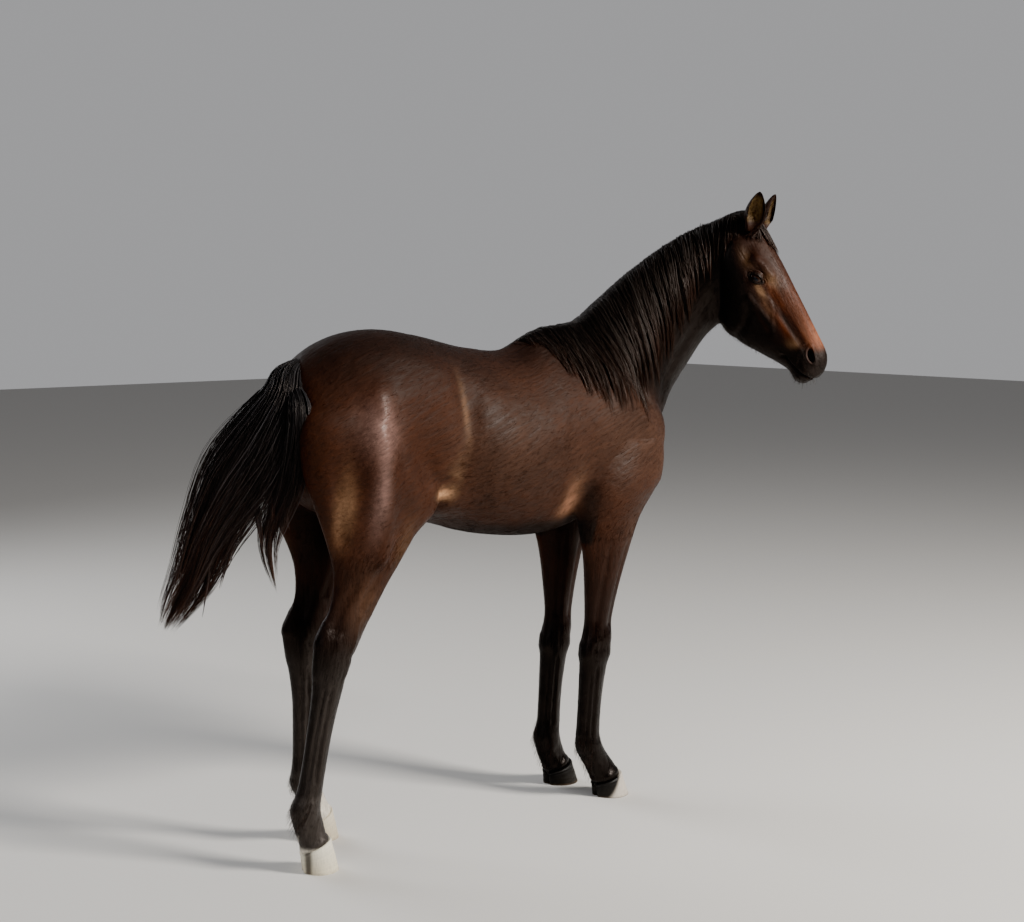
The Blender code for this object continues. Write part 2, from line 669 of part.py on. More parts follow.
# ---------------------------------------------------------------- the parting
SKIN_COLOUR = (0.075, 0.030, 0.016)
COLOURS = {
    "trunk": SKIN_COLOUR,
    "neck": (0.055, 0.022, 0.013),
    "head": (0.095, 0.038, 0.020),
    "ear_left": (0.060, 0.026, 0.016),
    "ear_right": (0.060, 0.026, 0.016),
    "eye_left": (0.012, 0.007, 0.005),
    "eye_right": (0.012, 0.007, 0.005),
    "mane": (0.012, 0.009, 0.009),
    "forelock": (0.012, 0.009, 0.009),
    "tail": (0.012, 0.009, 0.009),
    "foreleg_left": (0.022, 0.013, 0.011),
    "foreleg_right": (0.022, 0.013, 0.011),
    "hindleg_left": (0.022, 0.013, 0.011),
    "hindleg_right": (0.022, 0.013, 0.011),
    "hoof_fore_left": (0.060, 0.050, 0.045),
    "hoof_fore_right": (0.420, 0.370, 0.330),
    "hoof_hind_left": (0.600, 0.520, 0.420),
    "hoof_hind_right": (0.620, 0.540, 0.440),
}
ROUGHNESS = {"eye_left": 0.08, "eye_right": 0.08}


def finish(item, name):
    item.name = name
    item.data.name = name
    material = bpy.data.materials.new(name)
    material.use_nodes = True
    shader = material.node_tree.nodes["Principled BSDF"]
    shader.inputs["Base Color"].default_value = (*COLOURS[name], 1.0)
    shader.inputs["Roughness"].default_value = ROUGHNESS.get(name, 0.55)
    item.data.materials.clear()
    item.data.materials.append(material)
    item.data.polygons.foreach_set("use_smooth", [True] * len(item.data.polygons))
    item.data.update()


def loose_parts(item):
    only(item)
    bpy.ops.mesh.separate(type="LOOSE")
    return list(bpy.context.selected_objects)


def name_of(item):
    """Which part a loose piece of the body is, from where its middle lies."""
    middle = 0.5 * (coordinates(item).min(axis=0) + coordinates(item).max(axis=0))
    side = "left" if middle[1] > 0.0 else "right"
    if middle[2] < 0.7:
        return ("foreleg_" if middle[0] > 0.0 else "hindleg_") + side
    if middle[0] < 0.35:
        return "trunk"
    return "head" if middle[0] > 0.83 and middle[2] > 1.3 and middle[1] < -0.2 else "neck"


def main():
    for item in list(bpy.data.objects):
        bpy.data.objects.remove(item, do_unlink=True)
    body = body_skin()
    tree = BVHTree.FromObject(body, bpy.context.evaluated_depsgraph_get())
    hair = [mane(tree), forelock(tree)]
    for item in hair:
        triangulate(item)
        place(item, pose(coordinates(item)))
    shells = {}
    for side, word in ((1.0, "left"), (-1.0, "right")):
        for kind, maker in (("ear_", ear), ("eye_", eye)):
            item = maker(side)
            triangulate(item)
            place(item, head_rigid(coordinates(item)))
            shells[kind + word] = item

    face_edge = THROAT[0] + 0.02
    triangulate(body)
    thin_region(body, lambda p: (p[:, 0] < face_edge) & (p[:, 2] > 0.85), 0.022)
    thin_region(body, lambda p: (p[:, 2] < 0.85), 0.10)
    thin_region(body, lambda p: (p[:, 0] > face_edge), 0.12)
    thin(body, BODY_TRIANGLES)
    place(body, pose(coordinates(body)))

    hooves = {}
    for name, (rings, across, lean) in LEGS.items():
        shift = min(lean, key=lambda pair: pair[0])[1]
        walls = FORE_HOOF if name.startswith("fore") else HIND_HOOF
        word = name.replace("leg_", "_")
        hooves["hoof_" + word] = hoof("hoof_" + word, walls, across, shift)
        front, back = np.array(walls[0].first), np.array(walls[0].second)
        reach = (front - back) * 0.6
        lift = np.array((0.0, JOINT_GAP))
        side = math.copysign(1.0, across)
        below = slab("below", front + reach + lift, back - reach + lift, (across - 0.09 * side, across + 0.09 * side), 0.12)
        place(below, toe_out(coordinates(below), name, 1.0) + np.array((shift, 0.0, 0.0)))
        subtract(body, below)

    for start, stop, wide in (
        ((0.340, 0.802), (0.660, 0.812), 0.30),
        ((-0.180, 0.868), (-0.650, 0.905), 0.30),
        ((0.300, 1.500), (0.820, 1.030), 0.40),
    ):
        subtract(body, slab("cut", start, stop, (-wide, wide), JOINT_GAP))
    nape = slab("cut", (1.000, 1.850), (0.938, 1.340), (-0.40, 0.40), JOINT_GAP)
    place(nape, head_rigid(coordinates(nape), 0.5))
    subtract(body, nape)

    parts = {name_of(item): item for item in loose_parts(body)}
    for word in ("left", "right"):
        subtract(parts["head"], grown(shells["eye_" + word], JOINT_GAP))
        part_from(shells["ear_" + word], parts["head"])
    part_from(hair[0], parts["neck"], parts["trunk"], parts["head"], shells["ear_right"], shells["ear_left"])
    part_from(hair[1], parts["head"], parts["neck"], hair[0], shells["ear_right"], shells["ear_left"])
    brush = tail()
    part_from(brush, parts["trunk"], parts["hindleg_left"], parts["hindleg_right"])
    parts.update(shells)
    parts.update(hooves)
    parts.update({"mane": hair[0], "forelock": hair[1], "tail": brush})
    low = np.min([coordinates(item).min(axis=0) for item in parts.values()], axis=0)
    high = np.max([coordinates(item).max(axis=0) for item in parts.values()], axis=0)
    shift = -0.5 * (low + high)
    shift[2] = -low[2]
    for name, item in parts.items():
        place(item, coordinates(item) + shift)
        finish(item, name)


main()
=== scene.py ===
"""The looks of a young dark bay horse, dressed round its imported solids.

Metres, +Z up, +X towards the horse's front, +Y to its left. The body is drawn standing with
a straight neck, as one skin: tubes through named rings are melted together, sculpted, given
ears, eyelids, nostrils, tendons and folds, and thinned where it is plain. Hair is laid on it
as solid locks and tufts. Then all of it takes the pose that the solids stand in.
"""

import logging
import math
from dataclasses import dataclass, field
from enum import Enum
from functools import partial
from typing import Any, Callable, NamedTuple, Sequence

import bpy
import numpy as np
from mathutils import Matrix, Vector
from mathutils.bvhtree import BVHTree


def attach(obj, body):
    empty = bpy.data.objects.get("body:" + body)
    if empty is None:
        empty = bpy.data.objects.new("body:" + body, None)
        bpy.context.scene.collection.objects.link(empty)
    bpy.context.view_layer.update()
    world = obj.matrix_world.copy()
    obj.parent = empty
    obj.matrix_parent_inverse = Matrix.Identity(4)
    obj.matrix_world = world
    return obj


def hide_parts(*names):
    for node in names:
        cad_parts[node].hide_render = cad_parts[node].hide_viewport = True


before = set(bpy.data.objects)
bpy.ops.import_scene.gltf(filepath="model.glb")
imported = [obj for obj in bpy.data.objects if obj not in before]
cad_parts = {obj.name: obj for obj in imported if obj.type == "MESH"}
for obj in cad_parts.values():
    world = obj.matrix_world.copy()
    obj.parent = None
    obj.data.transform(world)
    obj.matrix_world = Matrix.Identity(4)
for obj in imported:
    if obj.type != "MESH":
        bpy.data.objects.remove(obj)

logging.basicConfig(level=logging.INFO, format="%(name)s: %(message)s")
LOG = logging.getLogger("young_horse")
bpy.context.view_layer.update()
Array = np.ndarray
Item = bpy.types.Object
Material = bpy.types.Material
Chance = np.random.Generator
MESH = bpy.ops.mesh
# From the drawing to the middle of the floor.
CENTRED = np.array((-0.10722, 0.11292, 0))
COAT_DEPTH = 0.002
BAKE_MAP = "OFBake"
TUFT_PATCH = 0.003


class Side(Enum):
    """The two sides of the body, as the sign of Y."""

    LEFT = 1
    RIGHT = -1


# ---------------- small tools
def rise(values: Array, start: float, stop: float) -> Array:
    """A soft ramp from nought at start to one at stop."""
    share = np.clip((values - start) / (stop - start), 0, 1)
    return share * share * (3 - 2 * share)


def fall(values: Array, start: float, stop: float) -> Array:
    """A soft ramp from one at start to nought at stop."""
    return 1 - rise(values, start, stop)


def bell(values: Array, centre: Any, reach: Any) -> Array:
    """One at the centre and soon nought beyond the reach, for numbers or for rows of them."""
    squares = ((values - np.array(centre)) / np.array(reach)) ** 2
    return np.exp(-(squares.sum(axis=1) if squares.ndim > 1 else squares))


def folded(points: Array) -> Array:
    """The places with the right side laid over the left one."""
    return points * (1, 0, 1) + np.abs(points) * (0, 1, 0)


def unit(vectors: Array) -> Array:
    """The vectors at length one."""
    return vectors / np.maximum(np.linalg.norm(vectors, axis=-1, keepdims=True), 1e-12)


def spline(rows: Array, steps: int) -> Array:
    """Joins rows by a smooth curve.

    Args:
        rows: the rows of numbers that the curve passes through.
        steps: how many steps lie between two rows.

    Returns:
        The rows of the curve, with the given ones among them.
    """
    keys = np.vstack((2 * rows[0] - rows[1], rows, 2 * rows[-1] - rows[-2]))
    t = (np.arange(steps) / steps)[:, None]
    spans = []
    for a, b, c, d in zip(keys, keys[1:], keys[2:], keys[3:]):
        square, cube = 2 * a - 5 * b + 4 * c - d, 3 * b - a - 3 * c + d
        spans.append(0.5 * (2 * b + (c - a) * t + square * t**2 + cube * t**3))
    return np.vstack((*spans, rows[-1:]))


def scaled_down(value: Any, parts: float) -> Any:
    """A number divided by this many parts, or a tuple of such; names and colours stay as they are."""
    if isinstance(value, tuple):
        return tuple(scaled_down(item, parts) for item in value)
    return value / parts if isinstance(value, (int, float)) else value


def rows_of(kind: type, parts: float, *rows: tuple) -> tuple:
    """Makes a table.

    Args:
        kind: what each row becomes.
        parts: how many of the rows' units make a metre, or a whole for shares.
        rows: the fields of each row.

    Returns:
        The rows, in metres and whole shares.
    """
    return tuple(kind(*scaled_down(row, parts)) for row in rows)


def only(*items: Item) -> None:
    """Makes these objects the only ones selected, and the first of them the active one."""
    bpy.ops.object.select_all(action="DESELECT")
    for item in items:
        item.select_set(True)
    bpy.context.view_layer.objects.active = items[0] if items else None


def apply_modifier(item: Item, kind: str, **settings: Any) -> None:
    """Adds a modifier to an object and applies it.

    Args:
        item: the object.
        kind: the modifier's type.
        settings: the modifier's own properties.
    """
    only(item)
    modifier = item.modifiers.new(kind.lower(), kind)
    for key, value in settings.items():
        setattr(modifier, key, value)
    bpy.ops.object.modifier_apply(modifier=modifier.name)


def join(items: Sequence[Item], name: str) -> Item:
    """Joins objects into one and names it."""
    only(*items)
    bpy.ops.object.join()
    items[0].name = items[0].data.name = name
    return items[0]


def vectors_of(item: Item, what: str = "co") -> Array:
    """The places or normals of a mesh's points."""
    values = np.empty(len(item.data.vertices) * 3)
    item.data.vertices.foreach_get(what, values)
    return values.reshape(-1, 3)


def place(item: Item, points: Array) -> None:
    """Puts a mesh's points at these places."""
    item.data.vertices.foreach_set("co", points.ravel())
    item.data.update()


def in_edit(item: Item, *steps: Callable, chosen: Array | None = None) -> None:
    """Runs operators in edit mode.

    Args:
        item: the object.
        steps: the operators, in order.
        chosen: which points are selected first, or None for all of them.
    """
    only(item)
    bpy.ops.object.mode_set(mode="EDIT")
    MESH.select_mode(type="VERT")
    MESH.select_all(action="SELECT" if chosen is None else "DESELECT")
    if chosen is not None:
        bpy.ops.object.mode_set(mode="OBJECT")
        item.data.vertices.foreach_set("select", chosen)
        bpy.ops.object.mode_set(mode="EDIT")
    for step in steps:
        step()
    bpy.ops.object.mode_set(mode="OBJECT")


def tube(name: str, sections: Array) -> Item:
    """Makes a closed skin through rings of points.

    Args:
        name: the new object's name.
        sections: the rings, an array of rings by corners by three.

    Returns:
        The tube, with a flat cap at each end.
    """
    rows, sides = sections.shape[:2]
    only()
    bpy.ops.mesh.primitive_grid_add(x_subdivisions=sides, y_subdivisions=rows - 1)
    item = bpy.context.object
    item.name = name
    place(item, np.concatenate((sections, sections[:, :1]), axis=1).reshape(-1, 3))
    in_edit(
        item,
        partial(MESH.remove_doubles, threshold=1e-6),
        partial(MESH.select_all, action="DESELECT"),
        MESH.select_non_manifold,
        partial(MESH.fill_holes, sides=0),
    )
    in_edit(item, partial(MESH.normals_make_consistent, inside=False))
    return item


def from_arrays(name: str, points: Array, faces: Array) -> Item:
    """Makes an object of many small faces at once.

    Args:
        name: the new object's name.
        points: the places of its points.
        faces: the points of each face, all with the same number of corners.

    Returns:
        The object, smooth all over.
    """
    mesh = bpy.data.meshes.new(name)
    corners = faces.shape[1]
    mesh.vertices.add(len(points))
    mesh.vertices.foreach_set("co", points.astype(np.float32).ravel())
    mesh.loops.add(faces.size)
    mesh.loops.foreach_set("vertex_index", faces.astype(np.int32).ravel())
    mesh.polygons.add(len(faces))
    mesh.polygons.foreach_set("loop_start", np.arange(0, faces.size, corners, dtype=np.int32))
    mesh.polygons.foreach_set("use_smooth", np.ones(len(faces), dtype=bool))
    mesh.update(calc_edges=True)
    mesh.validate()
    item = bpy.data.objects.new(name, mesh)
    bpy.context.scene.collection.objects.link(item)
    return item


def smooth(item: Item) -> None:
    """Shades an object smooth all over."""
    only(item)
    bpy.ops.object.shade_smooth()


def write_attribute(item: Item, name: str, values: Array) -> None:
    """Writes a vector or a colour for each point of a mesh, from rows of three or four numbers."""
    kind, key = (("FLOAT_VECTOR", "vector"), ("FLOAT_COLOR", "color"))[values.shape[1] == 4]
    layer = item.data.attributes.new(name, kind, "POINT")
    layer.data.foreach_set(key, values.astype(np.float32).ravel())


def distance_to_path(points: Array, path: Sequence[Sequence[float]]) -> Array:
    """How far points lie from a line.

    Args:
        points: the points.
        path: the places that the line runs through.

    Returns:
        Each point's distance.
    """
    best = np.full(len(points), 1e9)
    for start, stop in zip(path, path[1:]):
        start, run = np.array(start), np.array(stop) - np.array(start)
        share = np.clip((points - start) @ run / (run @ run), 0, 1)
        best = np.minimum(best, np.linalg.norm(points - start - share[:, None] * run, axis=1))
    return best


# ---------------- the drawn body
class Ring(NamedTuple):
    """One cross-section: two outline points (x, z), three half widths, and its middle's y."""

    name: str
    first: tuple
    second: tuple
    widths: tuple
    y: float = 0


# These tables are in millimetres, and in thousandths of the head's length on the face.
TRUNK = rows_of(
    Ring, 1000,
    ("tail_root", (-572, 1290), (-592, 1140), (30, 50, 50)),
    ("buttock", (-542, 1334), (-568, 1030), (85, 128, 120)),
    ("rump", (-470, 1383), (-500, 945), (140, 178, 150)),
    ("croup", (-370, 1414), (-380, 905), (192, 212, 165)),
    ("hips", (-260, 1419), (-250, 895), (212, 210, 165)),
    ("loins", (-130, 1396), (-110, 872), (182, 206, 185)),
    ("barrel", (20, 1362), (20, 834), (172, 222, 210)),
    ("back", (160, 1354), (160, 812), (155, 218, 200)),
    ("girth", (270, 1402), (270, 806), (110, 200, 180)),
    ("withers", (370, 1418), (370, 816), (80, 188, 155)),
    ("shoulder", (470, 1425), (470, 850), (75, 180, 150)),
    ("breast", (580, 1380), (585, 900), (75, 172, 150)),
    ("chest", (670, 1270), (665, 955), (80, 152, 140)),
    ("chest_front", (734, 1190), (722, 1015), (40, 90, 88)),
)
NECK = rows_of(
    Ring, 1000,
    ("root", (360, 1400), (640, 1000), (70, 150, 140)),
    ("base", (440, 1428), (750, 1110), (60, 140, 128)),
    ("lower", (540, 1492), (796, 1205), (46, 114, 102)),
    ("middle", (655, 1577), (850, 1292), (42, 94, 82)),
    ("upper", (780, 1662), (905, 1374), (42, 82, 66)),
    ("throat", (885, 1714), (950, 1421), (48, 80, 58)),
    ("poll", (975, 1748), (980, 1465), (50, 76, 54)),
)
# Each as: place along the head, face line, jaw line, all in shares of its length, half widths.
HEAD = (
    ("nape", -0.06, -0.11, -0.33, (0.034, 0.044, 0.04)),
    ("poll", -0.022, -0.042, -0.38, (0.046, 0.06, 0.055)),
    ("brow", 0.06, -0.01, -0.41, (0.056, 0.074, 0.06)),
    ("forehead", 0.17, 0.002, -0.425, (0.066, 0.086, 0.062)),
    ("eyes", 0.3, 0.004, -0.44, (0.078, 0.093, 0.058)),
    ("cheek", 0.4, 0.003, -0.472, (0.07, 0.083, 0.056)),
    ("jowl", 0.5, 0, -0.474, (0.058, 0.069, 0.049)),
    ("nose", 0.6, -0.002, -0.43, (0.048, 0.057, 0.041)),
    ("bars", 0.7, -0.006, -0.366, (0.042, 0.05, 0.036)),
    ("lips", 0.8, -0.01, -0.3, (0.04, 0.047, 0.033)),
    ("nostrils", 0.88, -0.016, -0.258, (0.042, 0.05, 0.034)),
    ("chin", 0.94, -0.04, -0.258, (0.037, 0.046, 0.037)),
    ("lip_tip", 0.985, -0.088, -0.222, (0.018, 0.026, 0.024)),
)
FORELEG = rows_of(
    Ring, 1000,
    ("shoulder", (688, 1070), (400, 1080), (62, 70, 60), 110),
    ("triceps", (672, 955), (345, 930), (66, 76, 60), 114),
    ("elbow", (602, 850), (365, 835), (56, 66, 45), 108),
    ("forearm_top", (566, 755), (390, 740), (48, 56, 39), 102),
    ("forearm", (532, 650), (402, 645), (41, 46, 34), 96),
    ("forearm_low", (508, 545), (408, 540), (36, 37, 31)),
    ("knee_top", (506, 490), (398, 480), (40, 41, 36)),
    ("knee_low", (500, 435), (392, 430), (39, 40, 34)),
    ("cannon_top", (486, 380), (392, 375), (35, 36, 32)),
    ("cannon", (476, 300), (390, 295), (30, 32, 29)),
    ("cannon_low", (472, 215), (387, 210), (30, 32, 29)),
    ("fetlock", (474, 160), (381, 150), (34, 37, 33)),
    ("pastern", (498, 108), (406, 86), (32, 34, 31)),
    ("coronet", (522, 68), (432, 39), (38, 40, 36)),
    ("in_hoof", (528, 50), (440, 24), (30, 30, 26)),
)
HINDLEG = rows_of(
    Ring, 1000,
    ("croup", (-290, 1290), (-500, 1275), (40, 50, 40), 90),
    ("thigh_top", (-195, 1150), (-590, 1190), (80, 92, 70), 118),
    ("thigh", (-165, 1030), (-592, 1070), (82, 96, 66), 122),
    ("stifle", (-174, 935), (-558, 970), (74, 84, 55), 122),
    ("gaskin_top", (-246, 850), (-514, 870), (60, 68, 45), 114),
    ("gaskin", (-305, 765), (-484, 785), (50, 55, 37), 106),
    ("gaskin_low", (-343, 690), (-486, 705), (42, 43, 26), 100),
    ("hock_top", (-370, 635), (-510, 650), (40, 39, 22)),
    ("hock", (-396, 585), (-532, 605), (42, 42, 28)),
    ("hock_low", (-412, 530), (-528, 530), (42, 40, 29)),
    ("cannon_top", (-425, 465), (-517, 465), (36, 35, 29)),
    ("cannon", (-436, 360), (-514, 358), (30, 29, 26)),
    ("cannon_low", (-440, 245), (-515, 240), (30, 30, 27)),
    ("fetlock", (-438, 175), (-522, 162), (34, 37, 32)),
    ("pastern", (-418, 122), (-492, 96), (30, 32, 28)),
    ("coronet", (-402, 85), (-480, 50), (36, 38, 34)),
    ("in_hoof", (-396, 64), (-472, 32), (30, 30, 26)),
)


class Leg(NamedTuple):
    """One leg: name, rings, middle's y, how far it stands ahead by height, degrees of toe-out."""

    name: str
    rings: tuple
    across: float
    lean: tuple
    toe_out: float


LEGS = (
    Leg("foreleg_left", FORELEG, 0.09, ((0.1, -0.022), (0.2, -0.012), (0.45, -0.004), (0.8, 0)), 4),
    Leg("foreleg_right", FORELEG, -0.09, ((0.1, 0.012), (0.2, -0.01), (0.45, 0), (0.8, 0)), 8),
    Leg("hindleg_left", HINDLEG, 0.097,
        ((0.1, 0.028), (0.2, 0.018), (0.4, 0.02), (0.6, 0.008), (0.95, 0)), 10),
    Leg("hindleg_right", HINDLEG, -0.097,
        ((0.1, -0.116), (0.2, -0.088), (0.6, -0.012), (0.95, 0)), 22),
)


class Swell(NamedTuple):
    """A soft swelling or hollow on both sides: its centre, reach along each axis, height."""

    name: str
    centre: tuple
    reach: tuple
    out: float


SWELLS = rows_of(
    Swell, 1000,
    ("point_of_shoulder", (650, 120, 1030), (60, 70, 70), 10),
    ("triceps", (460, 185, 970), (110, 80, 100), 10),
    ("behind_elbow", (325, 180, 900), (45, 60, 80), -14),
    ("shoulder_blade", (470, 160, 1220), (60, 80, 140), 8),
    ("before_shoulder", (590, 120, 1230), (35, 70, 110), -10),
    ("breast_groove", (730, 0, 1090), (50, 22, 100), -14),
    ("flank_hollow", (-110, 200, 1190), (60, 60, 90), -12),
    ("hip_point", (-180, 185, 1320), (60, 50, 45), 9),
    ("flank_fold", (-135, 130, 925), (60, 50, 60), 14),
    ("thigh_groove", (-495, 170, 1080), (30, 70, 150), -7),
    ("thigh", (-400, 215, 1080), (80, 70, 140), 8),
    ("before_thigh", (-235, 210, 1130), (80, 80, 150), -13),
    ("rump_cleft", (-600, 0, 1080), (60, 22, 160), -30),
    ("throat_groove", (720, 80, 1310), (40, 40, 80), -5),
    ("gaskin", (-300, 165, 770), (60, 40, 70), 6),
)


class Stroke(NamedTuple):
    """A ridge or groove along a path, on both sides: its path, half breadth and height.

    A path of (x, y, z) is a line in space. One of (x, z), or of (along, out) on the head, is
    drawn on the side view and marks whatever lies under it.
    """

    name: str
    path: tuple
    breadth: float
    out: float


BODY_STROKES = rows_of(
    Stroke, 1000,
    ("neck_vein", ((700, 90, 1200), (800, 80, 1340), (900, 70, 1450)), 18, -6),
    ("blade_spine", ((430, 130, 1340), (500, 160, 1220), (600, 170, 1080)), 24, 5),
    ("before_blade", ((520, 100, 1400), (600, 150, 1220), (660, 150, 1100)), 22, -6),
    ("behind_triceps", ((370, 170, 1120), (365, 190, 1000), (375, 180, 880)), 18, -9),
    ("girth_fold", ((330, 150, 930), (345, 120, 830), (350, 80, 800)), 14, -7),
    ("haunch_edge", ((-100, 150, 1310), (-95, 190, 1180), (-125, 190, 1060),
     (-165, 170, 970)), 38, -7),
    ("haunch_front", ((-150, 170, 1310), (-155, 200, 1180), (-190, 210, 1060)), 42, 4),
    ("flank_web", ((-200, 170, 990), (-135, 160, 935), (-60, 140, 890)), 18, 10),
    ("hamstring", ((-530, 140, 1180), (-515, 170, 1020), (-485, 150, 880)), 16, -6),
    ("thigh_muscle", ((-395, 200, 1260), (-410, 210, 1160), (-405, 210, 1050), (-385, 200, 930),
     (-370, 170, 820)), 34, 13),
    ("thigh_hollow", ((-330, 210, 1200), (-340, 210, 1080), (-320, 200, 950)), 26, -5),
    ("thigh_back", ((-455, 190, 1200), (-460, 190, 1060), (-435, 180, 930)), 26, -5),
    ("stifle_cap", ((-200, 190, 960), (-230, 180, 900)), 20, 7),
    ("croup_line", ((-460, 100, 1370), (-340, 150, 1360), (-220, 160, 1350)), 24, 3),
    ("point_of_shoulder", ((580, 160, 1140), (640, 140, 1060), (650, 130, 960)), 20, 9),
    ("breast_line", ((560, 160, 1060), (575, 170, 980), (560, 150, 900)), 16, -9),
    ("spine", ((-160, 0, 1410), (50, 0, 1360), (220, 0, 1370)), 12, 3),
    ("belly_line", ((300, 0, 800), (50, 0, 830), (-150, 0, 870)), 12, -4),
)
RIB_STARTS = (0.26, 0.2, 0.14, 0.08, 0.02, -0.035)
LEG_STROKES = rows_of(
    Stroke, 1000,
    ("fore_tendon", ((430, 395), (427, 300), (422, 200)), 5.5, -6),
    ("fore_sinew", ((412, 380), (409, 300), (404, 205)), 4, -3),
    ("forearm_front", ((520, 760), (492, 620), (478, 530)), 11, -5),
    ("forearm_back", ((450, 760), (438, 640), (430, 540)), 10, -4),
    ("knee_cap", ((472, 500), (475, 440)), 14, 4),
    ("knee_side", ((440, 500), (438, 440)), 8, -2.2),
    ("knee_fold", ((420, 462), (505, 466)), 10, -2),
    ("knee_foot", ((400, 400), (485, 405)), 14, -1.2),
    ("knee_back", ((403, 468), (400, 438)), 13, 5),
    ("fore_sesamoid", ((402, 166), (400, 150)), 14, 3),
    ("fore_above_joint", ((428, 190), (445, 182)), 9, -3),
    ("fore_pastern", ((448, 112), (470, 90)), 12, -3),
    ("fore_coronet", ((522, 84), (428, 52)), 6, 2.8),
    ("hind_tendon", ((-478, 470), (-481, 360), (-482, 240)), 5.5, -6),
    ("hind_sinew", ((-497, 480), (-499, 360), (-500, 245)), 4, -3),
    ("heel_string", ((-440, 745), (-466, 690), (-484, 640)), 12, -4.5),
    ("gaskin_line", ((-330, 850), (-380, 760), (-415, 690)), 14, -6),
    ("gaskin_front", ((-270, 850), (-330, 745), (-375, 665)), 14, 3.5),
    ("hock_vein", ((-395, 700), (-420, 640), (-436, 560), (-440, 500)), 6, 2.5),
    ("hock_point", ((-505, 655), (-522, 600)), 12, 4),
    ("hock_bone", ((-425, 620), (-428, 590)), 18, 3),
    ("hock_seam", ((-410, 555), (-470, 565)), 9, -4),
    ("hock_foot", ((-425, 495), (-510, 500)), 9, -2.5),
    ("hind_sesamoid", ((-508, 178), (-510, 164)), 14, 3),
    ("hind_above_joint", ((-482, 205), (-465, 197)), 9, -3),
    ("hind_pastern", ((-462, 118), (-446, 98)), 12, -3),
    ("hind_coronet", ((-398, 94), (-482, 58)), 6, 2.8),
)
FACE_STROKES = rows_of(
    Stroke, 1000,
    ("cheek_ridge", ((420, -222), (520, -208), (610, -196)), 8, 5),
    ("below_ridge", ((460, -262), (560, -250), (640, -235)), 10, -3.5),
    ("nose_side", ((460, -112), (600, -112), (780, -105)), 12, -4.5),
    ("cheek_front", ((490, -270), (545, -340), (565, -430)), 10, -4.5),
    ("jaw_edge", ((260, -400), (380, -445), (500, -445)), 13, 3),
    ("throat_latch", ((60, -400), (120, -300), (100, -180)), 14, -5),
    ("temple", ((190, -105), (225, -125)), 17, -6.5),
    ("brow", ((255, -88), (310, -70), (375, -66)), 12, 9),
    ("lip_line", ((800, -226), (860, -214), (930, -190), (985, -158), (1030, -140)), 3, -6.5),
    ("lip_corner", ((790, -240), (805, -215)), 6, -3),
    ("lower_lip", ((880, -240), (950, -218)), 8, 2),
    ("upper_lip", ((910, -160), (975, -130)), 11, 3),
    ("cheek_vein", ((500, -135), (580, -165), (660, -215)), 3.5, 2.2),
    ("nose_muscle", ((600, -150), (720, -130), (820, -120)), 7, 2.5),
)
LIP_LINE = next(stroke.path for stroke in FACE_STROKES if stroke.name == "lip_line")


@dataclass(frozen=True)
class HeadFrame:
    """Places on the head as shares of its length, along from the poll and out of the face."""

    length: float = 0.54
    pitch: float = math.radians(60)
    poll: tuple = (1.054, 1.756)

    @property
    def along(self) -> Array:
        """The direction down the face."""
        return np.array((math.cos(self.pitch), 0, -math.sin(self.pitch)))

    @property
    def out(self) -> Array:
        """The direction straight out of the face."""
        return np.array((math.sin(self.pitch), 0, math.cos(self.pitch)))

    def point(self, along: float, out: float, across: float = 0) -> Array:
        """The place at these shares, and this many metres to the left."""
        start = np.array((self.poll[0], across, self.poll[1]))
        return start + self.length * (along * self.along + out * self.out)

    def shares(self, points: Array) -> Array:
        """The shares (along, out) of each place."""
        offset = points - np.array((self.poll[0], 0, self.poll[1]))
        return np.stack((offset @ self.along, offset @ self.out), axis=1) / self.length


SKULL = HeadFrame()


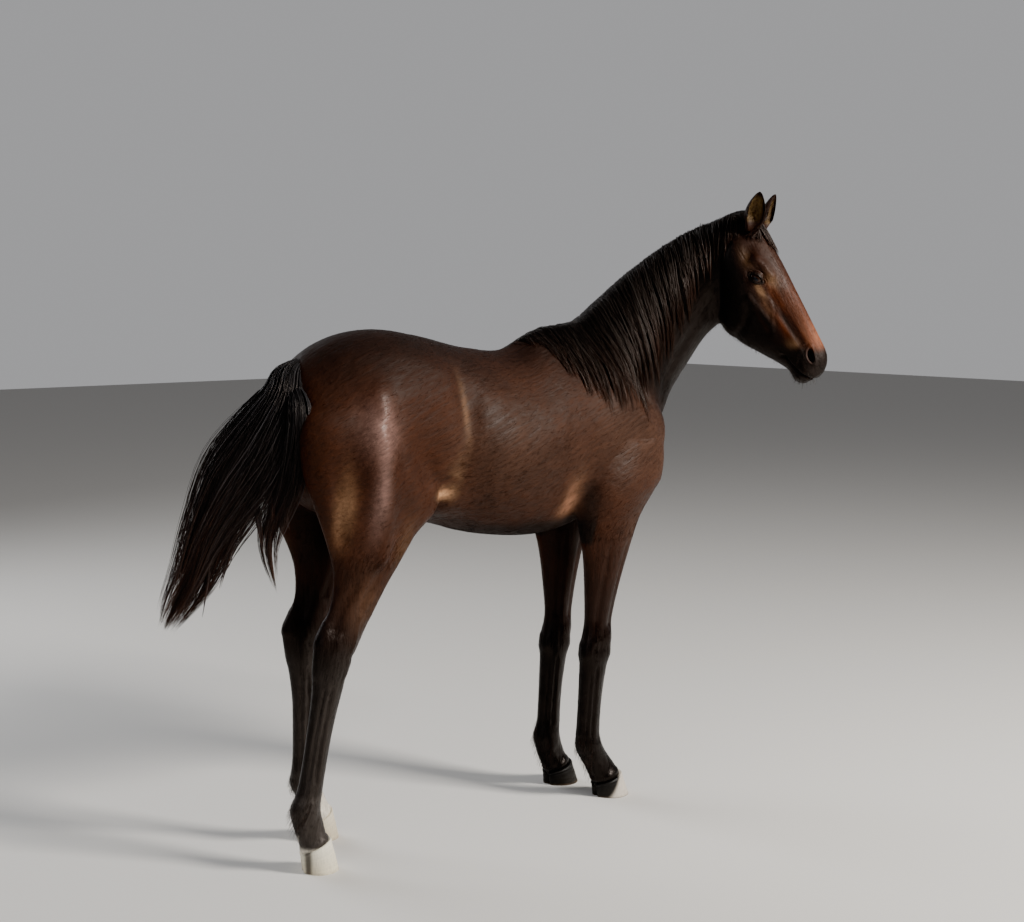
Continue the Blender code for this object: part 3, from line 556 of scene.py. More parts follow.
@dataclass(frozen=True)
class StandingPose:
    """How the straight drawing becomes the standing horse that looks to its right."""

    turns: tuple = ((1, 7), (2, 10), (3, 10), (4, 10), (4.9, 8))
    poll_turn: float = 19
    throat: tuple = (0.93, 1.45)
    throat_slope: float = 0.16

    def neck_place(self, points: Array) -> Array:
        """How many rings of the neck lie behind each point."""
        place_now = np.zeros(len(points))
        ahead = []
        for ring in NECK:
            line = np.array(ring.first) - np.array(ring.second)
            out = np.array((line[1], -line[0])) / np.hypot(*line)
            ahead.append((points[:, (0, 2)] - np.array(ring.second)) @ out)
        for index in range(len(NECK) - 1):
            inside = (ahead[index] >= 0) & (ahead[index + 1] < 0)
            span = np.where(inside, ahead[index] - ahead[index + 1], 1)
            place_now = np.where(inside, index + ahead[index] / span, place_now)
        return np.where(ahead[-1] >= 0, len(NECK) - 1, place_now)

    def head_share(self, points: Array) -> Array:
        """Nought in the neck and one in the head."""
        edge = self.throat[0] + (points[:, 2] - self.throat[1]) * self.throat_slope
        return rise(points[:, 0], edge - 0.05, edge + 0.05) * (points[:, 2] > 1)

    @staticmethod
    def turn(points: Array, centre: tuple, degrees: float, share: Array) -> Array:
        """Turns points about an upright line.

        Args:
            points: the points.
            centre: the line's x and y.
            degrees: how far a whole turn goes, to the left.
            share: how much of the turn each point makes.

        Returns:
            The turned points.
        """
        angle = math.radians(degrees) * share
        x, y = points[:, 0] - centre[0], points[:, 1] - centre[1]
        result = points.copy()
        result[:, 0] = centre[0] + x * np.cos(angle) - y * np.sin(angle)
        result[:, 1] = centre[1] + x * np.sin(angle) + y * np.cos(angle)
        return result

    @staticmethod
    def joint(middle: float) -> float:
        """The x of the joint between two of the neck's rings."""
        low, high = NECK[int(middle)], NECK[min(int(middle) + 1, len(NECK) - 1)]
        part = middle - int(middle)
        low_x, high_x = (ring.first[0] + ring.second[0] for ring in (low, high))
        return 0.5 * (low_x * (1 - part) + high_x * part)

    def apply(self, points: Array, rigid: bool = False) -> Array:
        """Moves points from the drawing to the pose.

        Args:
            points: places on the straight drawing.
            rigid: whether all of them are fixed to the head.

        Returns:
            The same points as the horse stands, before the drawing is centred.
        """
        along = self.neck_place(points)
        head = np.ones(len(points)) if rigid else self.head_share(points)
        result = self.turn(points, (self.throat[0] + 0.02, 0), -self.poll_turn, head)
        for middle, degrees in reversed(self.turns):
            share = np.maximum(rise(along, middle - 1, middle + 1), head)
            result = self.turn(result, (self.joint(middle), 0), -degrees, share)
        for leg in LEGS:
            heights, shifts = zip(*leg.lean)
            mask = (points[:, 1] * leg.across > 0) & (points[:, 2] < heights[-1])
            fore = leg.rings is FORELEG
            mask &= (points[:, 0] > 0.2) if fore else (points[:, 0] < -0.1)
            low = np.where(mask, fall(points[:, 2], 0.09, 0.19), 0)
            fetlock = (0.431 if fore else -0.48, leg.across)
            result = self.turn(result, fetlock, math.copysign(leg.toe_out, leg.across), low)
            result[:, 0] += np.where(mask, np.interp(points[:, 2], heights, shifts), 0)
        return result


POSE = StandingPose()


@dataclass(frozen=True)
class Eye:
    """An eye's place in the drawing, and the lids' opening round it."""

    along: float = 0.345
    out: float = -0.14
    across: float = 0.064
    radius: float = 0.0225
    tilt: float = math.radians(26)
    half_length: float = 0.0212
    upper: float = 0.0112
    lower: float = 0.008
    lid: float = 0.0022

    def centre(self, side: Side) -> Array:
        """The middle of the eyeball."""
        return SKULL.point(self.along, self.out, self.across * side.value)

    def axes(self, side: Side) -> Array:
        """The eye's own axes: along its opening, up across it, and straight out of it."""
        beside = np.array((0, side.value, 0))
        look = unit(beside + 0.22 * SKULL.along + 0.1 * SKULL.out)
        along = SKULL.along * math.cos(self.tilt) + SKULL.out * math.sin(self.tilt)
        along = unit(along - look * (along @ look))
        up = np.cross(look, along) * side.value
        return np.stack((along, up if up @ SKULL.out > 0 else -up, look))

    def opening(self, a: Array, b: Array) -> Array:
        """How far outside the opening between the lids a place lies, in metres."""
        share = np.clip(1 - (a / self.half_length) ** 2, 0, 1)
        edge = np.where(b > 0, self.upper * share**0.52, self.lower * share**0.7)
        inside = np.abs(b) - edge
        beyond = np.hypot(np.maximum(np.abs(a) - self.half_length, 0), b)
        return np.where(np.abs(a) < self.half_length, inside, beyond)


EYE = Eye()


@dataclass(frozen=True)
class Nostril:
    """A nostril's pit and its rim."""

    along: float = 0.868
    out: float = -0.09
    tilt: float = math.radians(-14)
    half_length: float = 0.02
    half_breadth: float = 0.0085
    depth: float = 0.016
    rim: float = 0.0034

    def reach(self, shares: Array) -> tuple:
        """Each place's distance from the pit, in its half sizes, and its height across it."""
        d = (shares - np.array((self.along, self.out))) * SKULL.length
        a = d[:, 0] * math.cos(self.tilt) + d[:, 1] * math.sin(self.tilt)
        b = -d[:, 0] * math.sin(self.tilt) + d[:, 1] * math.cos(self.tilt)
        curl = b - 0.1 * (a / self.half_length) ** 2 * self.half_length
        return np.hypot(a / self.half_length, curl / self.half_breadth), b


NOSTRIL = Nostril()


@dataclass(frozen=True)
class Ear:
    """A pricked ear: a shell rolled round a hollow that opens forward and outward."""

    length: float = 0.105
    root: tuple = (0.072, -0.022, 0.055)
    sides: int = 14
    # Where the hollows of the left ear and the right one face, in degrees to the left.
    facing: tuple = (-6, -55)
    # Along the ear: its half width and half depth, and how deep the shell is hollowed.
    rows: tuple = (
        (-0.2, 0.018, 0.014, 0), (0.02, 0.026, 0.02, 0.1), (0.2, 0.031, 0.022, 0.6),
        (0.42, 0.031, 0.02, 0.74), (0.64, 0.026, 0.016, 0.74), (0.84, 0.016, 0.011, 0.7),
        (0.95, 0.008, 0.007, 0.55), (1, 0.002, 0.002, 0),
    )

    def axes(self, side: Side) -> Array:
        """The ear's own axes: towards its tip, out of its hollow, and beside it."""
        axis = unit(np.array((0.32, 0.28 * side.value, 0.95)))
        facing = math.radians(self.facing[side is Side.RIGHT])
        forward = np.array((math.cos(facing), math.sin(facing), -0.2))
        forward = unit(forward - axis * (forward @ axis))
        return np.stack((axis, forward, np.cross(axis, forward)))

    def base(self, side: Side) -> Array:
        """Where the ear stands on the head."""
        return SKULL.point(self.root[0], self.root[1], self.root[2] * side.value)

    def build(self, side: Side) -> Item:
        """The ear as a closed shell."""
        axis, forward, beside = self.axes(side)
        sections = []
        for share, wide, deep, hollow in spline(np.array(self.rows), 3):
            middle = self.base(side) + axis * self.length * share
            spread = math.radians(140 - 30 * max(share, 0))
            wide, deep, hollow = max(wide, 0.001), max(deep, 0.001), min(max(hollow, 0), 0.84)
            angles = math.pi - spread + 2 * spread * np.arange(self.sides + 1) / self.sides
            cosine, sine = np.cos(angles)[:, None], np.sin(angles)[:, None]
            outer = middle + forward * deep * cosine + beside * wide * sine
            rim = 0.5 * (outer[0] + outer[-1])
            steps = np.arange(self.sides - 1, 0, -1)
            flat = rim + (outer[-1] - rim) * ((steps - self.sides / 2) / (self.sides / 2))[:, None]
            sections.append(np.vstack((outer, flat + (outer[steps] - flat) * hollow)))
        return tube("ear_" + side.name.lower(), np.array(sections))

    def shares(self, points: Array, side: Side) -> tuple:
        """How far up the ear each place lies, or -1 off it, and how near the shell's outside."""
        table = np.array(self.rows)
        height, forward, beside = ((points - self.base(side)) @ self.axes(side).T).T
        height = height / self.length
        wide, deep = (np.maximum(np.interp(height, table[:, 0], table[:, k]), 0.005) for k in (1, 2))
        reach = np.hypot(forward / deep, beside / wide)
        return np.where((reach < 1.5) & (height < 1.15), height, -1), reach

    def share(self, points: Array) -> Array:
        """Nought on the head and one on either ear."""
        heights = [self.shares(points, side)[0] for side in Side]
        return rise(np.maximum(*heights), 0.02, 0.16)


EAR = Ear()


# ---------------- markings, with painted highlights, sheen and shade
BLACK = np.array((0.0045, 0.0032, 0.0028))
SEAL = np.array((0.0105, 0.0044, 0.003))
BROWN = np.array((0.043, 0.015, 0.0075))
CHESTNUT = np.array((0.078, 0.021, 0.0075))
DUN = np.array((0.09, 0.043, 0.027))
TAN = np.array((0.38, 0.205, 0.105))
ORANGE = np.array((0.23, 0.075, 0.033))
RUSSET = np.array((0.23, 0.108, 0.06))
OLIVE = np.array((0.17, 0.105, 0.046))
ASH = np.array((0.034, 0.029, 0.026))
SLATE = np.array((0.027, 0.0275, 0.031))
CREAM = np.array((0.72, 0.66, 0.56))
PINK = np.array((0.15, 0.085, 0.07))


class Mark(NamedTuple):
    """A soft patch of colour, among them painted highlights, sheen and shade: its centre, reach, colour and
    strength.

    On the body the centre is a place and stands for both sides; on the face it is (along, out).
    """

    centre: tuple
    reach: tuple
    colour: Array
    strength: float


MARKS = rows_of(
    Mark, 1,
    ((-0.25, 0.2, 1.12), (0.13, 0.12, 0.19), CHESTNUT * 0.5, 0.9),
    ((-0.4, 0.2, 1.02), (0.13, 0.12, 0.16), CHESTNUT * 0.36, 0.8),
    ((-0.3, 0.17, 0.82), (0.08, 0.1, 0.13), CHESTNUT * 0.45, 0.8),
    ((-0.29, 0.2, 0.78), (0.034, 0.06, 0.1), TAN * 0.36, 0.75),
    # Painted highlights: the lit edge of the flank fold, and the lit line along the front edge of the haunch.
    ((-0.158, 0.16, 0.972), (0.024, 0.07, 0.012), TAN * 1.8, 0.95),
    ((-0.128, 0.2, 1.01), (0.013, 0.06, 0.06), TAN * 0.7, 0.6),
    ((-0.105, 0.2, 1.2), (0.01, 0.07, 0.1), TAN * 0.7, 0.55),
    ((-0.49, 0.17, 0.955), (0.02, 0.06, 0.085), RUSSET * 0.9 + OLIVE * 0.4, 0.8),
    # Painted highlight: a pink sheen down the ridge of the thigh muscle.
    ((-0.405, 0.2, 1.16), (0.048, 0.07, 0.065), PINK * 1.6, 0.75),
    ((-0.408, 0.2, 1.01), (0.019, 0.07, 0.115), PINK * 1.5, 0.75),
    ((0.312, 0.13, 0.91), (0.036, 0.07, 0.085), RUSSET * 1.1, 0.85),
    # The next three grey-brown patches, on the barrel, the shoulder and the lower neck, are partly lighter
    # coat and partly painted sheen where these face the light.
    ((0.02, 0.21, 1.08), (0.26, 0.14, 0.15), DUN * 0.45, 0.7),
    ((0.5, 0.17, 1.1), (0.14, 0.12, 0.13), DUN * 0.5, 0.7),
    ((0.67, 0.1, 1.08), (0.09, 0.12, 0.12), DUN * 0.95, 0.6),
    ((0.545, 0.14, 0.8), (0.05, 0.08, 0.1), DUN * 0.5, 0.6),
)


FACE_MARKS = rows_of(
    Mark, 1,
    ((0.22, 0), (0.17, 0.1), BROWN * 0.7, 0.8),
    ((0.58, 0), (0.2, 0.07), CHESTNUT * 1.1, 0.9),
    ((0.8, -0.01), (0.1, 0.05), ORANGE * 1.1, 0.9),
    # Painted highlights: the lit fold in front of the eye and the lit edge of the lower lid.
    ((0.4, -0.075), (0.045, 0.026), TAN * 0.42, 0.7),
    ((0.42, -0.15), (0.04, 0.014), TAN * 0.6, 0.85),
    # Partly tan coat, partly painted highlight along the facial crest.
    ((0.52, -0.165), (0.075, 0.02), RUSSET * 0.42, 0.8),
    ((0.5, -0.1), (0.1, 0.026), CHESTNUT, 0.8),
    ((0.66, -0.145), (0.08, 0.018), CHESTNUT * 1.3, 0.8),
    # Partly tan coat, partly painted highlight at the lower end of the facial crest.
    ((0.775, -0.155), (0.035, 0.03), TAN * 0.42, 0.8),
    ((0.22, -0.135), (0.06, 0.028), TAN * 0.2, 0.6),
    # Painted shade: black lines along the side of the nose and the lower edge of the facial crest.
    ((0.62, -0.118), (0.1, 0.014), BLACK * 1.5, 0.85),
    ((0.6, -0.205), (0.1, 0.016), BLACK * 1.5, 0.8),
    ((0.56, -0.235), (0.07, 0.012), BROWN * 1.4, 0.6),
)


class CoatColours:
    """Where the coat is black, brown, tan and white, with painted highlights, sheen and shade laid over it,
    from places on the straight drawing.
    """

    @staticmethod
    def lay(colours: Array, *layers: tuple) -> Array:
        """Lays colours over others, each by a share for each point."""
        for new, share in layers:
            colours = colours * (1 - share[:, None]) + new * share[:, None]
        return colours

    def marked(self, colour: Array, places: Array, marks: Sequence[Mark]) -> Array:
        """One colour for all the places, under soft patches."""
        layers = ((mark.colour, mark.strength * bell(places, mark.centre, mark.reach)) for mark in marks)
        return self.lay(np.tile(colour, (len(places), 1)), *layers)

    def body(self, points: Array) -> Array:
        """Colours of the trunk, neck and legs, with painted shade behind the triceps, on the upper neck and
        under the belly, and painted sheen on the hind legs.
        """
        x, y, z = folded(points).T
        flat = points[:, (0, 2)]
        along = POSE.neck_place(points)
        back = rise(z, 1.2, 1.4) * fall(x, 0.45, 0.6)
        painted_belly_shade = (z > 0.78) * (y < 0.17) * (x < 0.4) * (x > -0.22)
        fore = (x > 0.15) & (z < 1)
        dark = np.where(fore, fall(z, 0.55, 0.88), fall(z, 0.66, 0.86))
        inner = np.where(z < 0.95, 0.7 * fall(y, 0.075, 0.12), 0)
        # The share of painted sheen on the hind legs, strongest at the fetlocks.
        grey = np.where(x < -0.1, 0.45 + 0.55 * (z < 0.2), 0) * fall(z, 0.46, 0.62)
        colours = self.lay(
            self.marked(BROWN * 0.75, folded(points), MARKS),
            (SEAL * 0.8, 0.92 * back),
            # Painted shadow: black in the hollow behind the triceps.
            (BLACK, 0.8 * bell(flat, (0.375, 0.9), (0.032, 0.09))),
            (SEAL, 0.85 * rise(along, 0.3, 1.2) * (z > 1)),
            # Painted shadow: black on the upper neck below the mane, in the head's shade.
            (BLACK * 0.6, 0.95 * rise(along, 0.5, 1.5) * (z > 1)),
            # Painted shade: black under the belly.
            (BLACK, 0.9 * fall(z, 0.835, 0.885) * painted_belly_shade),
            (SEAL, np.maximum(dark, inner)),
            (BLACK * 0.7, np.where(fore, fall(z, 0.42, 0.58), fall(z, 0.52, 0.68))),
            # Painted sheen: grey on the black hind cannons and fetlocks, for the shine of their hair.
            (ASH * 1.15, grey),
            (RUSSET * 0.36, 0.55 * (bell(flat, (-0.4, 0.69), (0.05, 0.09)) * (y > 0.1))),
        )
        return self.feet(points, colours)

    def feet(self, points: Array, colours: Array) -> Array:
        """Adds the white of the left hind pastern, and of both hind heels."""
        x, y, z = points.T
        level = 0.016 * np.tanh((x + 0.46) / 0.04)
        left = fall(z, 0.118 + level, 0.14 + level)
        right = np.maximum(fall(z, 0.058, 0.072), fall(z, 0.085, 0.105) * (x < -0.485))
        share = np.where(x < -0.1, np.where(y > 0, left, right), 0)
        return self.lay(colours, (CREAM * 0.9, share))

    def head(self, points: Array) -> Array:
        """Colours of the head and ears, with painted shade on the cheek, jaw, face grooves and in the
        nostrils, and painted highlights by the eyes, along the facial crest and on the nostrils' rims.
        """
        shares = SKULL.shares(points)
        u, v = shares.T
        muzzle = np.maximum(rise(u - 0.75 * v, 0.865, 0.925), rise(u, 0.835, 0.89))
        reach, across = NOSTRIL.reach(shares)
        colours = self.lay(
            self.marked(SEAL * 1.1, shares, FACE_MARKS),
            # Black cheek and jaw: partly dark coat, partly painted shade on the side turned from the light.
            (BLACK, 0.9 * fall(v + 0.1 * u, -0.2, -0.13) * fall(u, 0.68, 0.8)),
            (BLACK * 1.7, 0.95 * muzzle),
            # Painted highlight: a pale line on the nostril's rim.
            (PINK * 0.6, 0.6 * bell(reach, 1.25, 0.15) * (across < 0)),
            # Painted shade: black inside the nostril's pit.
            (BLACK * 0.5, fall(reach, 0.7, 1.2)),
        )
        for side in Side:
            offset = (points - EYE.centre(side)) @ EYE.axes(side).T
            near = np.linalg.norm(offset, axis=1) < 0.06
            outside = EYE.opening(offset[:, 0], offset[:, 1])
            height, reach = EAR.shares(points, side)
            hollow = rise(height, 0.08, 0.2) * fall(height, 0.7, 0.92)
            colours = self.lay(
                colours,
                (BLACK, np.where(near, fall(outside, 0.003, 0.011), 0)),
                (SEAL * 1.2, rise(height, 0, 0.15)),
                (OLIVE * 0.75, 0.95 * hollow * fall(reach, 0.78, 0.9)),
            )
        return colours

    def paint(self, points: Array) -> Array:
        """Colours each point.

        Args:
            points: places on the straight drawing.

        Returns:
            Red, green, blue, and how rough the coat is there.
        """
        share = POSE.head_share(points)
        colours = self.lay(self.body(points), (self.head(points), share))
        x, y, z = folded(points).T
        under = fall(z, 0.84, 0.9) * (z > 0.76) * (y < 0.17) * (np.abs(x - 0.09) < 0.3)
        throat = rise(POSE.neck_place(points), 0.8, 2.4) * (z > 1) * (1 - share)
        ridge = bell(x, -0.395, 0.055) * rise(z, 0.76, 0.86) * fall(z, 1.22, 1.3)
        rump = fall(x, -0.2, -0.1) * rise(z, 0.9, 1.1)
        legs = fall(z, 0.45, 0.75)
        barrel = rise(z, 1.08, 1.2) * (x > -0.15) * (x < 0.55)
        rough = 0.5 + 0.16 * rump * (1 - ridge) + 0.08 * barrel - 0.2 * ridge - 0.22 * legs
        rough = rough + 0.2 * under - 0.15 * throat + 0.02 * share
        return np.concatenate((colours, rough[:, None]), axis=1)


COLOURS = CoatColours()


def lie_shares(points: Array) -> Array:
    """How far each point belongs to the legs, the head and the neck, as three shares."""
    head = POSE.head_share(points)
    neck = rise(POSE.neck_place(points), 0.3, 1.6) * (points[:, 2] > 1) * (1 - head)
    leg = fall(points[:, 2], 0.72, 0.98) * (1 - head)
    return np.stack((leg, head, neck), axis=1)


def lie_of(points: Array, normals: Array) -> Array:
    """The direction in which the hair lies at each point, along the skin."""
    leg, head, neck = lie_shares(points).T[:, :, None]
    trunk = 1 - np.maximum(np.maximum(leg, head), neck)
    flow = trunk * np.array((-0.92, 0, -0.38)) + leg * np.array((-0.05, 0, -1))
    flow = flow + head * (SKULL.along - 0.15 * SKULL.out) + neck * np.array((-0.72, 0, -0.7))
    flow = flow + 3 * EAR.share(points)[:, None] * EAR.axes(Side.LEFT)[0] * (1, 0, 1)
    return unit(flow - normals * np.sum(flow * normals, axis=1, keepdims=True))


# ---------------- finishes
class Sheet:
    """The nodes of a material or a sky, added and joined by short calls."""

    def __init__(self, name: str, sky: bool = False) -> None:
        """Starts a material with one Principled shader, or a sky."""
        self.material = (bpy.data.worlds if sky else bpy.data.materials).new(name)
        self.material.use_nodes = True
        self.tree = self.material.node_tree
        self.shader = self.tree.nodes["Background" if sky else "Principled BSDF"]

    def node(self, kind: str, inputs: dict | None = None, **settings: Any) -> Any:
        """Adds a node.

        Args:
            kind: the node's type, without the words that all types start with.
            inputs: values or sockets for its inputs, by name or number.
            settings: the node's own properties.

        Returns:
            The node.
        """
        made = self.tree.nodes.new("ShaderNode" + kind)
        for key, value in settings.items():
            setattr(made, key, value)
        self.feed(made, inputs or {})
        return made

    def feed(self, node: Any, inputs: dict) -> None:
        """Joins sockets to a node's inputs, or sets their values."""
        for key, value in inputs.items():
            if isinstance(value, bpy.types.NodeSocket):
                self.tree.links.new(value, node.inputs[key])
            else:
                node.inputs[key].default_value = value

    def attribute(self, name: str) -> Any:
        """A node that reads an attribute of the mesh."""
        return self.node("Attribute", attribute_name=name)

    def noise(self, vector: Any, scale: float, detail: float = 2, rough: float = 0.5) -> Any:
        """Noise on these coordinates, as a socket."""
        inputs = {"Vector": vector, "Scale": scale, "Detail": detail, "Roughness": rough}
        return self.node("TexNoise", inputs).outputs["Fac"]

    def maths(self, operation: str, a: Any, b: Any = 0, c: Any = 0) -> Any:
        """One sum on sockets or numbers, as a socket."""
        made = self.node("Math", operation=operation)
        self.feed(made, {0: a, 1: b, 2: c})
        return made.outputs[0]

    def mix(self, share: Any, a: Any, b: Any, blend: str = "MIX") -> Any:
        """Mixes two colours, as a socket."""
        made = self.node("MixRGB", {"Fac": share, "Color1": a, "Color2": b}, blend_type=blend)
        return made.outputs[0]

    def scaled(self, colour: Any, by: Any) -> Any:
        """A colour made lighter or darker, as a socket."""
        return self.node("VectorMath", {0: colour, "Scale": by}, operation="SCALE").outputs[0]

    def ramp(self, value: Any, start: float, stop: float, low: float = 0, high: float = 1) -> Any:
        """Spreads a value between two others, softly, as a socket."""
        inputs = {"Value": value, "From Min": start, "From Max": stop, "To Min": low, "To Max": high}
        return self.node("MapRange", inputs, interpolation_type="SMOOTHSTEP").outputs[0]

    def bump(self, height: Any, distance: float, strength: float, under: Any = None) -> Any:
        """A bump, over another one if given, as a socket."""
        inputs = {"Height": height, "Distance": distance, "Strength": strength}
        if under is not None:
            inputs["Normal"] = under
        return self.node("Bump", inputs).outputs[0]


@dataclass(frozen=True)
class CoatFinish:
    """Short glossy hair that lies flat, on the skin and on its tufts."""

    name: str
    fine: float = 420
    clumps: float = 110
    stretch: float = 0.1

    def lay(self, sheet: Sheet, rest: Any, shares: Sequence, scale: float, detail: float) -> Any:
        """Noise drawn out along the hair.

        Args:
            sheet: the material's nodes.
            rest: the coordinates in the drawing, as a socket.
            shares: how far a place belongs to the neck, the head and the legs, as sockets.
            scale: how fine the noise is across the hair.
            detail: its octaves.

        Returns:
            The noise, as a socket.
        """
        noises = []
        for slope in (-0.39, -0.77, math.pi / 3, math.pi / 2):
            inputs = {"Vector": rest, "Rotation": (0, slope, 0), "Scale": (1 / self.stretch, 1, 1)}
            mapped = sheet.node("Mapping", inputs, vector_type="TEXTURE")
            noises.append(sheet.noise(mapped.outputs[0], scale, detail))
        value = noises[0]
        for share, noise in zip(shares, noises[1:]):
            value = sheet.mix(share, value, noise)
        return value

    def build(self) -> Material:
        """The material."""
        sheet = Sheet(self.name)
        rest = sheet.attribute("rest_place").outputs["Vector"]
        parted = sheet.attribute("lie_shares").outputs["Vector"]
        leg, head, neck = sheet.node("SeparateXYZ", {"Vector": parted}).outputs
        fine = self.lay(sheet, rest, (neck, head, leg), self.fine, 2)
        clumps = self.lay(sheet, rest, (neck, head, leg), self.clumps, 3)
        broad = sheet.noise(rest, 9, 4, 0.6)
        paint = sheet.attribute("coat_colour")
        shade = sheet.ramp(clumps, 0.25, 0.75, 0.8, 1.2)
        shade = sheet.maths("MULTIPLY", shade, sheet.ramp(broad, 0.3, 0.7, 0.8, 1.2))
        shade = sheet.maths("MULTIPLY", shade, sheet.ramp(fine, 0.3, 0.7, 0.88, 1.12))
        rough = sheet.maths("ADD", paint.outputs["Alpha"], sheet.ramp(clumps, 0.2, 0.8, -0.06, 0.12))
        rough = sheet.maths("ADD", rough, sheet.ramp(broad, 0.3, 0.7, -0.04, 0.06))
        height = sheet.maths("ADD", sheet.maths("MULTIPLY", fine, 0.35), clumps)
        sheet.feed(sheet.shader, {
            "Base Color": sheet.scaled(paint.outputs["Color"], shade),
            "Roughness": rough,
            "Normal": sheet.bump(height, 0.0024, 0.7, sheet.bump(broad, 0.016, 0.35)),
            "IOR": 1.29,
            "Specular Tint": (1, 0.86, 0.8, 1),
        })
        return sheet.material


@dataclass(frozen=True)
class HairFinish:
    """Long coarse hair: nearly black, and browner towards the ends."""

    name: str
    roughness: float = 0.4

    def build(self) -> Material:
        """The material."""
        sheet = Sheet(self.name)
        paint = sheet.attribute("lock_colour")
        where = sheet.node("TexCoord").outputs["Object"]
        fine = sheet.noise(where, 300, 2)
        sheet.feed(sheet.shader, {
            "Base Color": sheet.scaled(paint.outputs["Color"], sheet.ramp(fine, 0.3, 0.7, 0.75, 1.25)),
            "Roughness": sheet.ramp(fine, 0.2, 0.8, self.roughness, 0.55),
            "Normal": sheet.bump(fine, 0.0006, 0.4),
            "IOR": 1.42,
            "Specular Tint": (1, 0.85, 0.78, 1),
        })
        return sheet.material


@dataclass(frozen=True)
class EyeFinish:
    """A wet dark eye: brown iris, level blue-black pupil, and a pale rim hidden by the lids."""

    name: str = "wet_dark_eye"

    def build(self) -> Material:
        """The material, on the eye's own axes, in shares of its radius."""
        sheet = Sheet(self.name)
        where = sheet.attribute("eye_place").outputs["Vector"]
        a, b, _c = sheet.node("SeparateXYZ", {"Vector": where}).outputs
        wide, high = (
            sheet.maths("POWER", sheet.maths("ABSOLUTE", sheet.maths("DIVIDE", way, half)), 2.6)
            for way, half in ((a, 0.4), (b, 0.21))
        )
        pupil = sheet.ramp(sheet.maths("ADD", wide, high), 0.8, 1.25)
        squares = [sheet.maths("MULTIPLY", way, way) for way in (a, b)]
        reach = sheet.maths("SQRT", sheet.maths("ADD", *squares))
        angle = sheet.maths("ARCTAN2", b, a)
        rays = sheet.node("CombineXYZ", {0: sheet.maths("MULTIPLY", angle, 6), 1: reach})
        fibres = sheet.noise(rays.outputs[0], 4, 3)
        brown = sheet.ramp(fibres, 0.3, 0.7)
        iris = sheet.mix(brown, (0.01, 0.0045, 0.003, 1), (0.03, 0.012, 0.006, 1))
        colour = sheet.mix(pupil, (0.002, 0.0025, 0.005, 1), iris)
        for start, stop, ring in ((0.66, 0.76, (0.012, 0.008, 0.007, 1)), (0.9, 0.97, (0.2, 0.15, 0.13, 1))):
            colour = sheet.mix(sheet.ramp(reach, start, stop), colour, ring)
        sheet.feed(sheet.shader, {
            "Base Color": colour,
            "Roughness": sheet.ramp(fibres, 0, 1, 0.5, 0.6),
            "IOR": 1.4,
            "Specular IOR Level": 0.1,
            "Coat Weight": 0.6,
            "Coat Roughness": 0.03,
            "Coat IOR": 1.33,
        })
        return sheet.material


@dataclass(frozen=True)
class HornFinish:
    """Hoof horn with growth rings, fine upright grain, and dirt low down."""

    name: str
    top: tuple
    low: tuple
    toe: tuple | None = None
    # The angle round the hoof of a dark stripe, or nothing.
    stripe: float | None = None

    def build(self) -> Material:
        """The material, by the hoof's own height, angle and depth."""
        sheet = Sheet(self.name)
        where = sheet.attribute("hoof_place").outputs["Vector"]
        height, angle, front = sheet.node("SeparateXYZ", {"Vector": where}).outputs
        grain_at = sheet.node("CombineXYZ", {0: sheet.maths("MULTIPLY", angle, 30), 1: height})
        grain = sheet.noise(grain_at.outputs[0], 3, 3)
        blotch = sheet.noise(sheet.node("TexCoord").outputs["Object"], 60, 4, 0.6)
        wander = sheet.maths("ADD", height, sheet.maths("MULTIPLY", blotch, 0.1))
        rings = sheet.noise(sheet.node("CombineXYZ", {0: wander}).outputs[0], 9, 3)
        colour = sheet.mix(sheet.ramp(height, 0.15, 0.95), (*self.low, 1), (*self.top, 1))
        if self.toe:
            slant = sheet.maths("SUBTRACT", front, sheet.maths("MULTIPLY", height, 0.35))
            colour = sheet.mix(sheet.ramp(slant, 0.15, 0.33), colour, (*self.toe, 1))
        if self.stripe is not None:
            off = sheet.maths("ABSOLUTE", sheet.maths("SUBTRACT", angle, self.stripe))
            colour = sheet.mix(sheet.ramp(off, 0.06, 0.34, 0.9, 0), colour, (0.06, 0.048, 0.04, 1))
        shade = sheet.ramp(grain, 0.3, 0.7, 0.82, 1.12)
        shade = sheet.maths("MULTIPLY", shade, sheet.ramp(rings, 0.3, 0.7, 0.93, 1.04))
        low = sheet.ramp(wander, 0, 0.22, 0.5, 0)
        low = sheet.maths("MULTIPLY", low, sheet.ramp(blotch, 0.35, 0.65, 0.2, 1))
        sheet.feed(sheet.shader, {
            "Base Color": sheet.mix(low, sheet.scaled(colour, shade), (0.21, 0.14, 0.085, 1)),
            "Roughness": sheet.ramp(blotch, 0.3, 0.7, 0.42, 0.68),
            "Normal": sheet.bump(grain, 0.0008, 0.5, sheet.bump(rings, 0.0009, 0.5)),
            "IOR": 1.4,
            "Specular IOR Level": 0.3,
        })
        return sheet.material


def dress(item: Item, material: Material, slot: str, *nodes: str) -> None:
    """Gives a piece its finish and hangs it under the root.

    Args:
        item: the piece.
        material: its finish.
        slot: not used.
        nodes: the solids that it stands for.
    """
    item.data.materials.clear()
    item.data.materials.append(material)
    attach(item, "root")
    if nodes:
        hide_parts(*nodes)
    LOG.info("%s: %d faces", item.name, len(item.data.polygons))


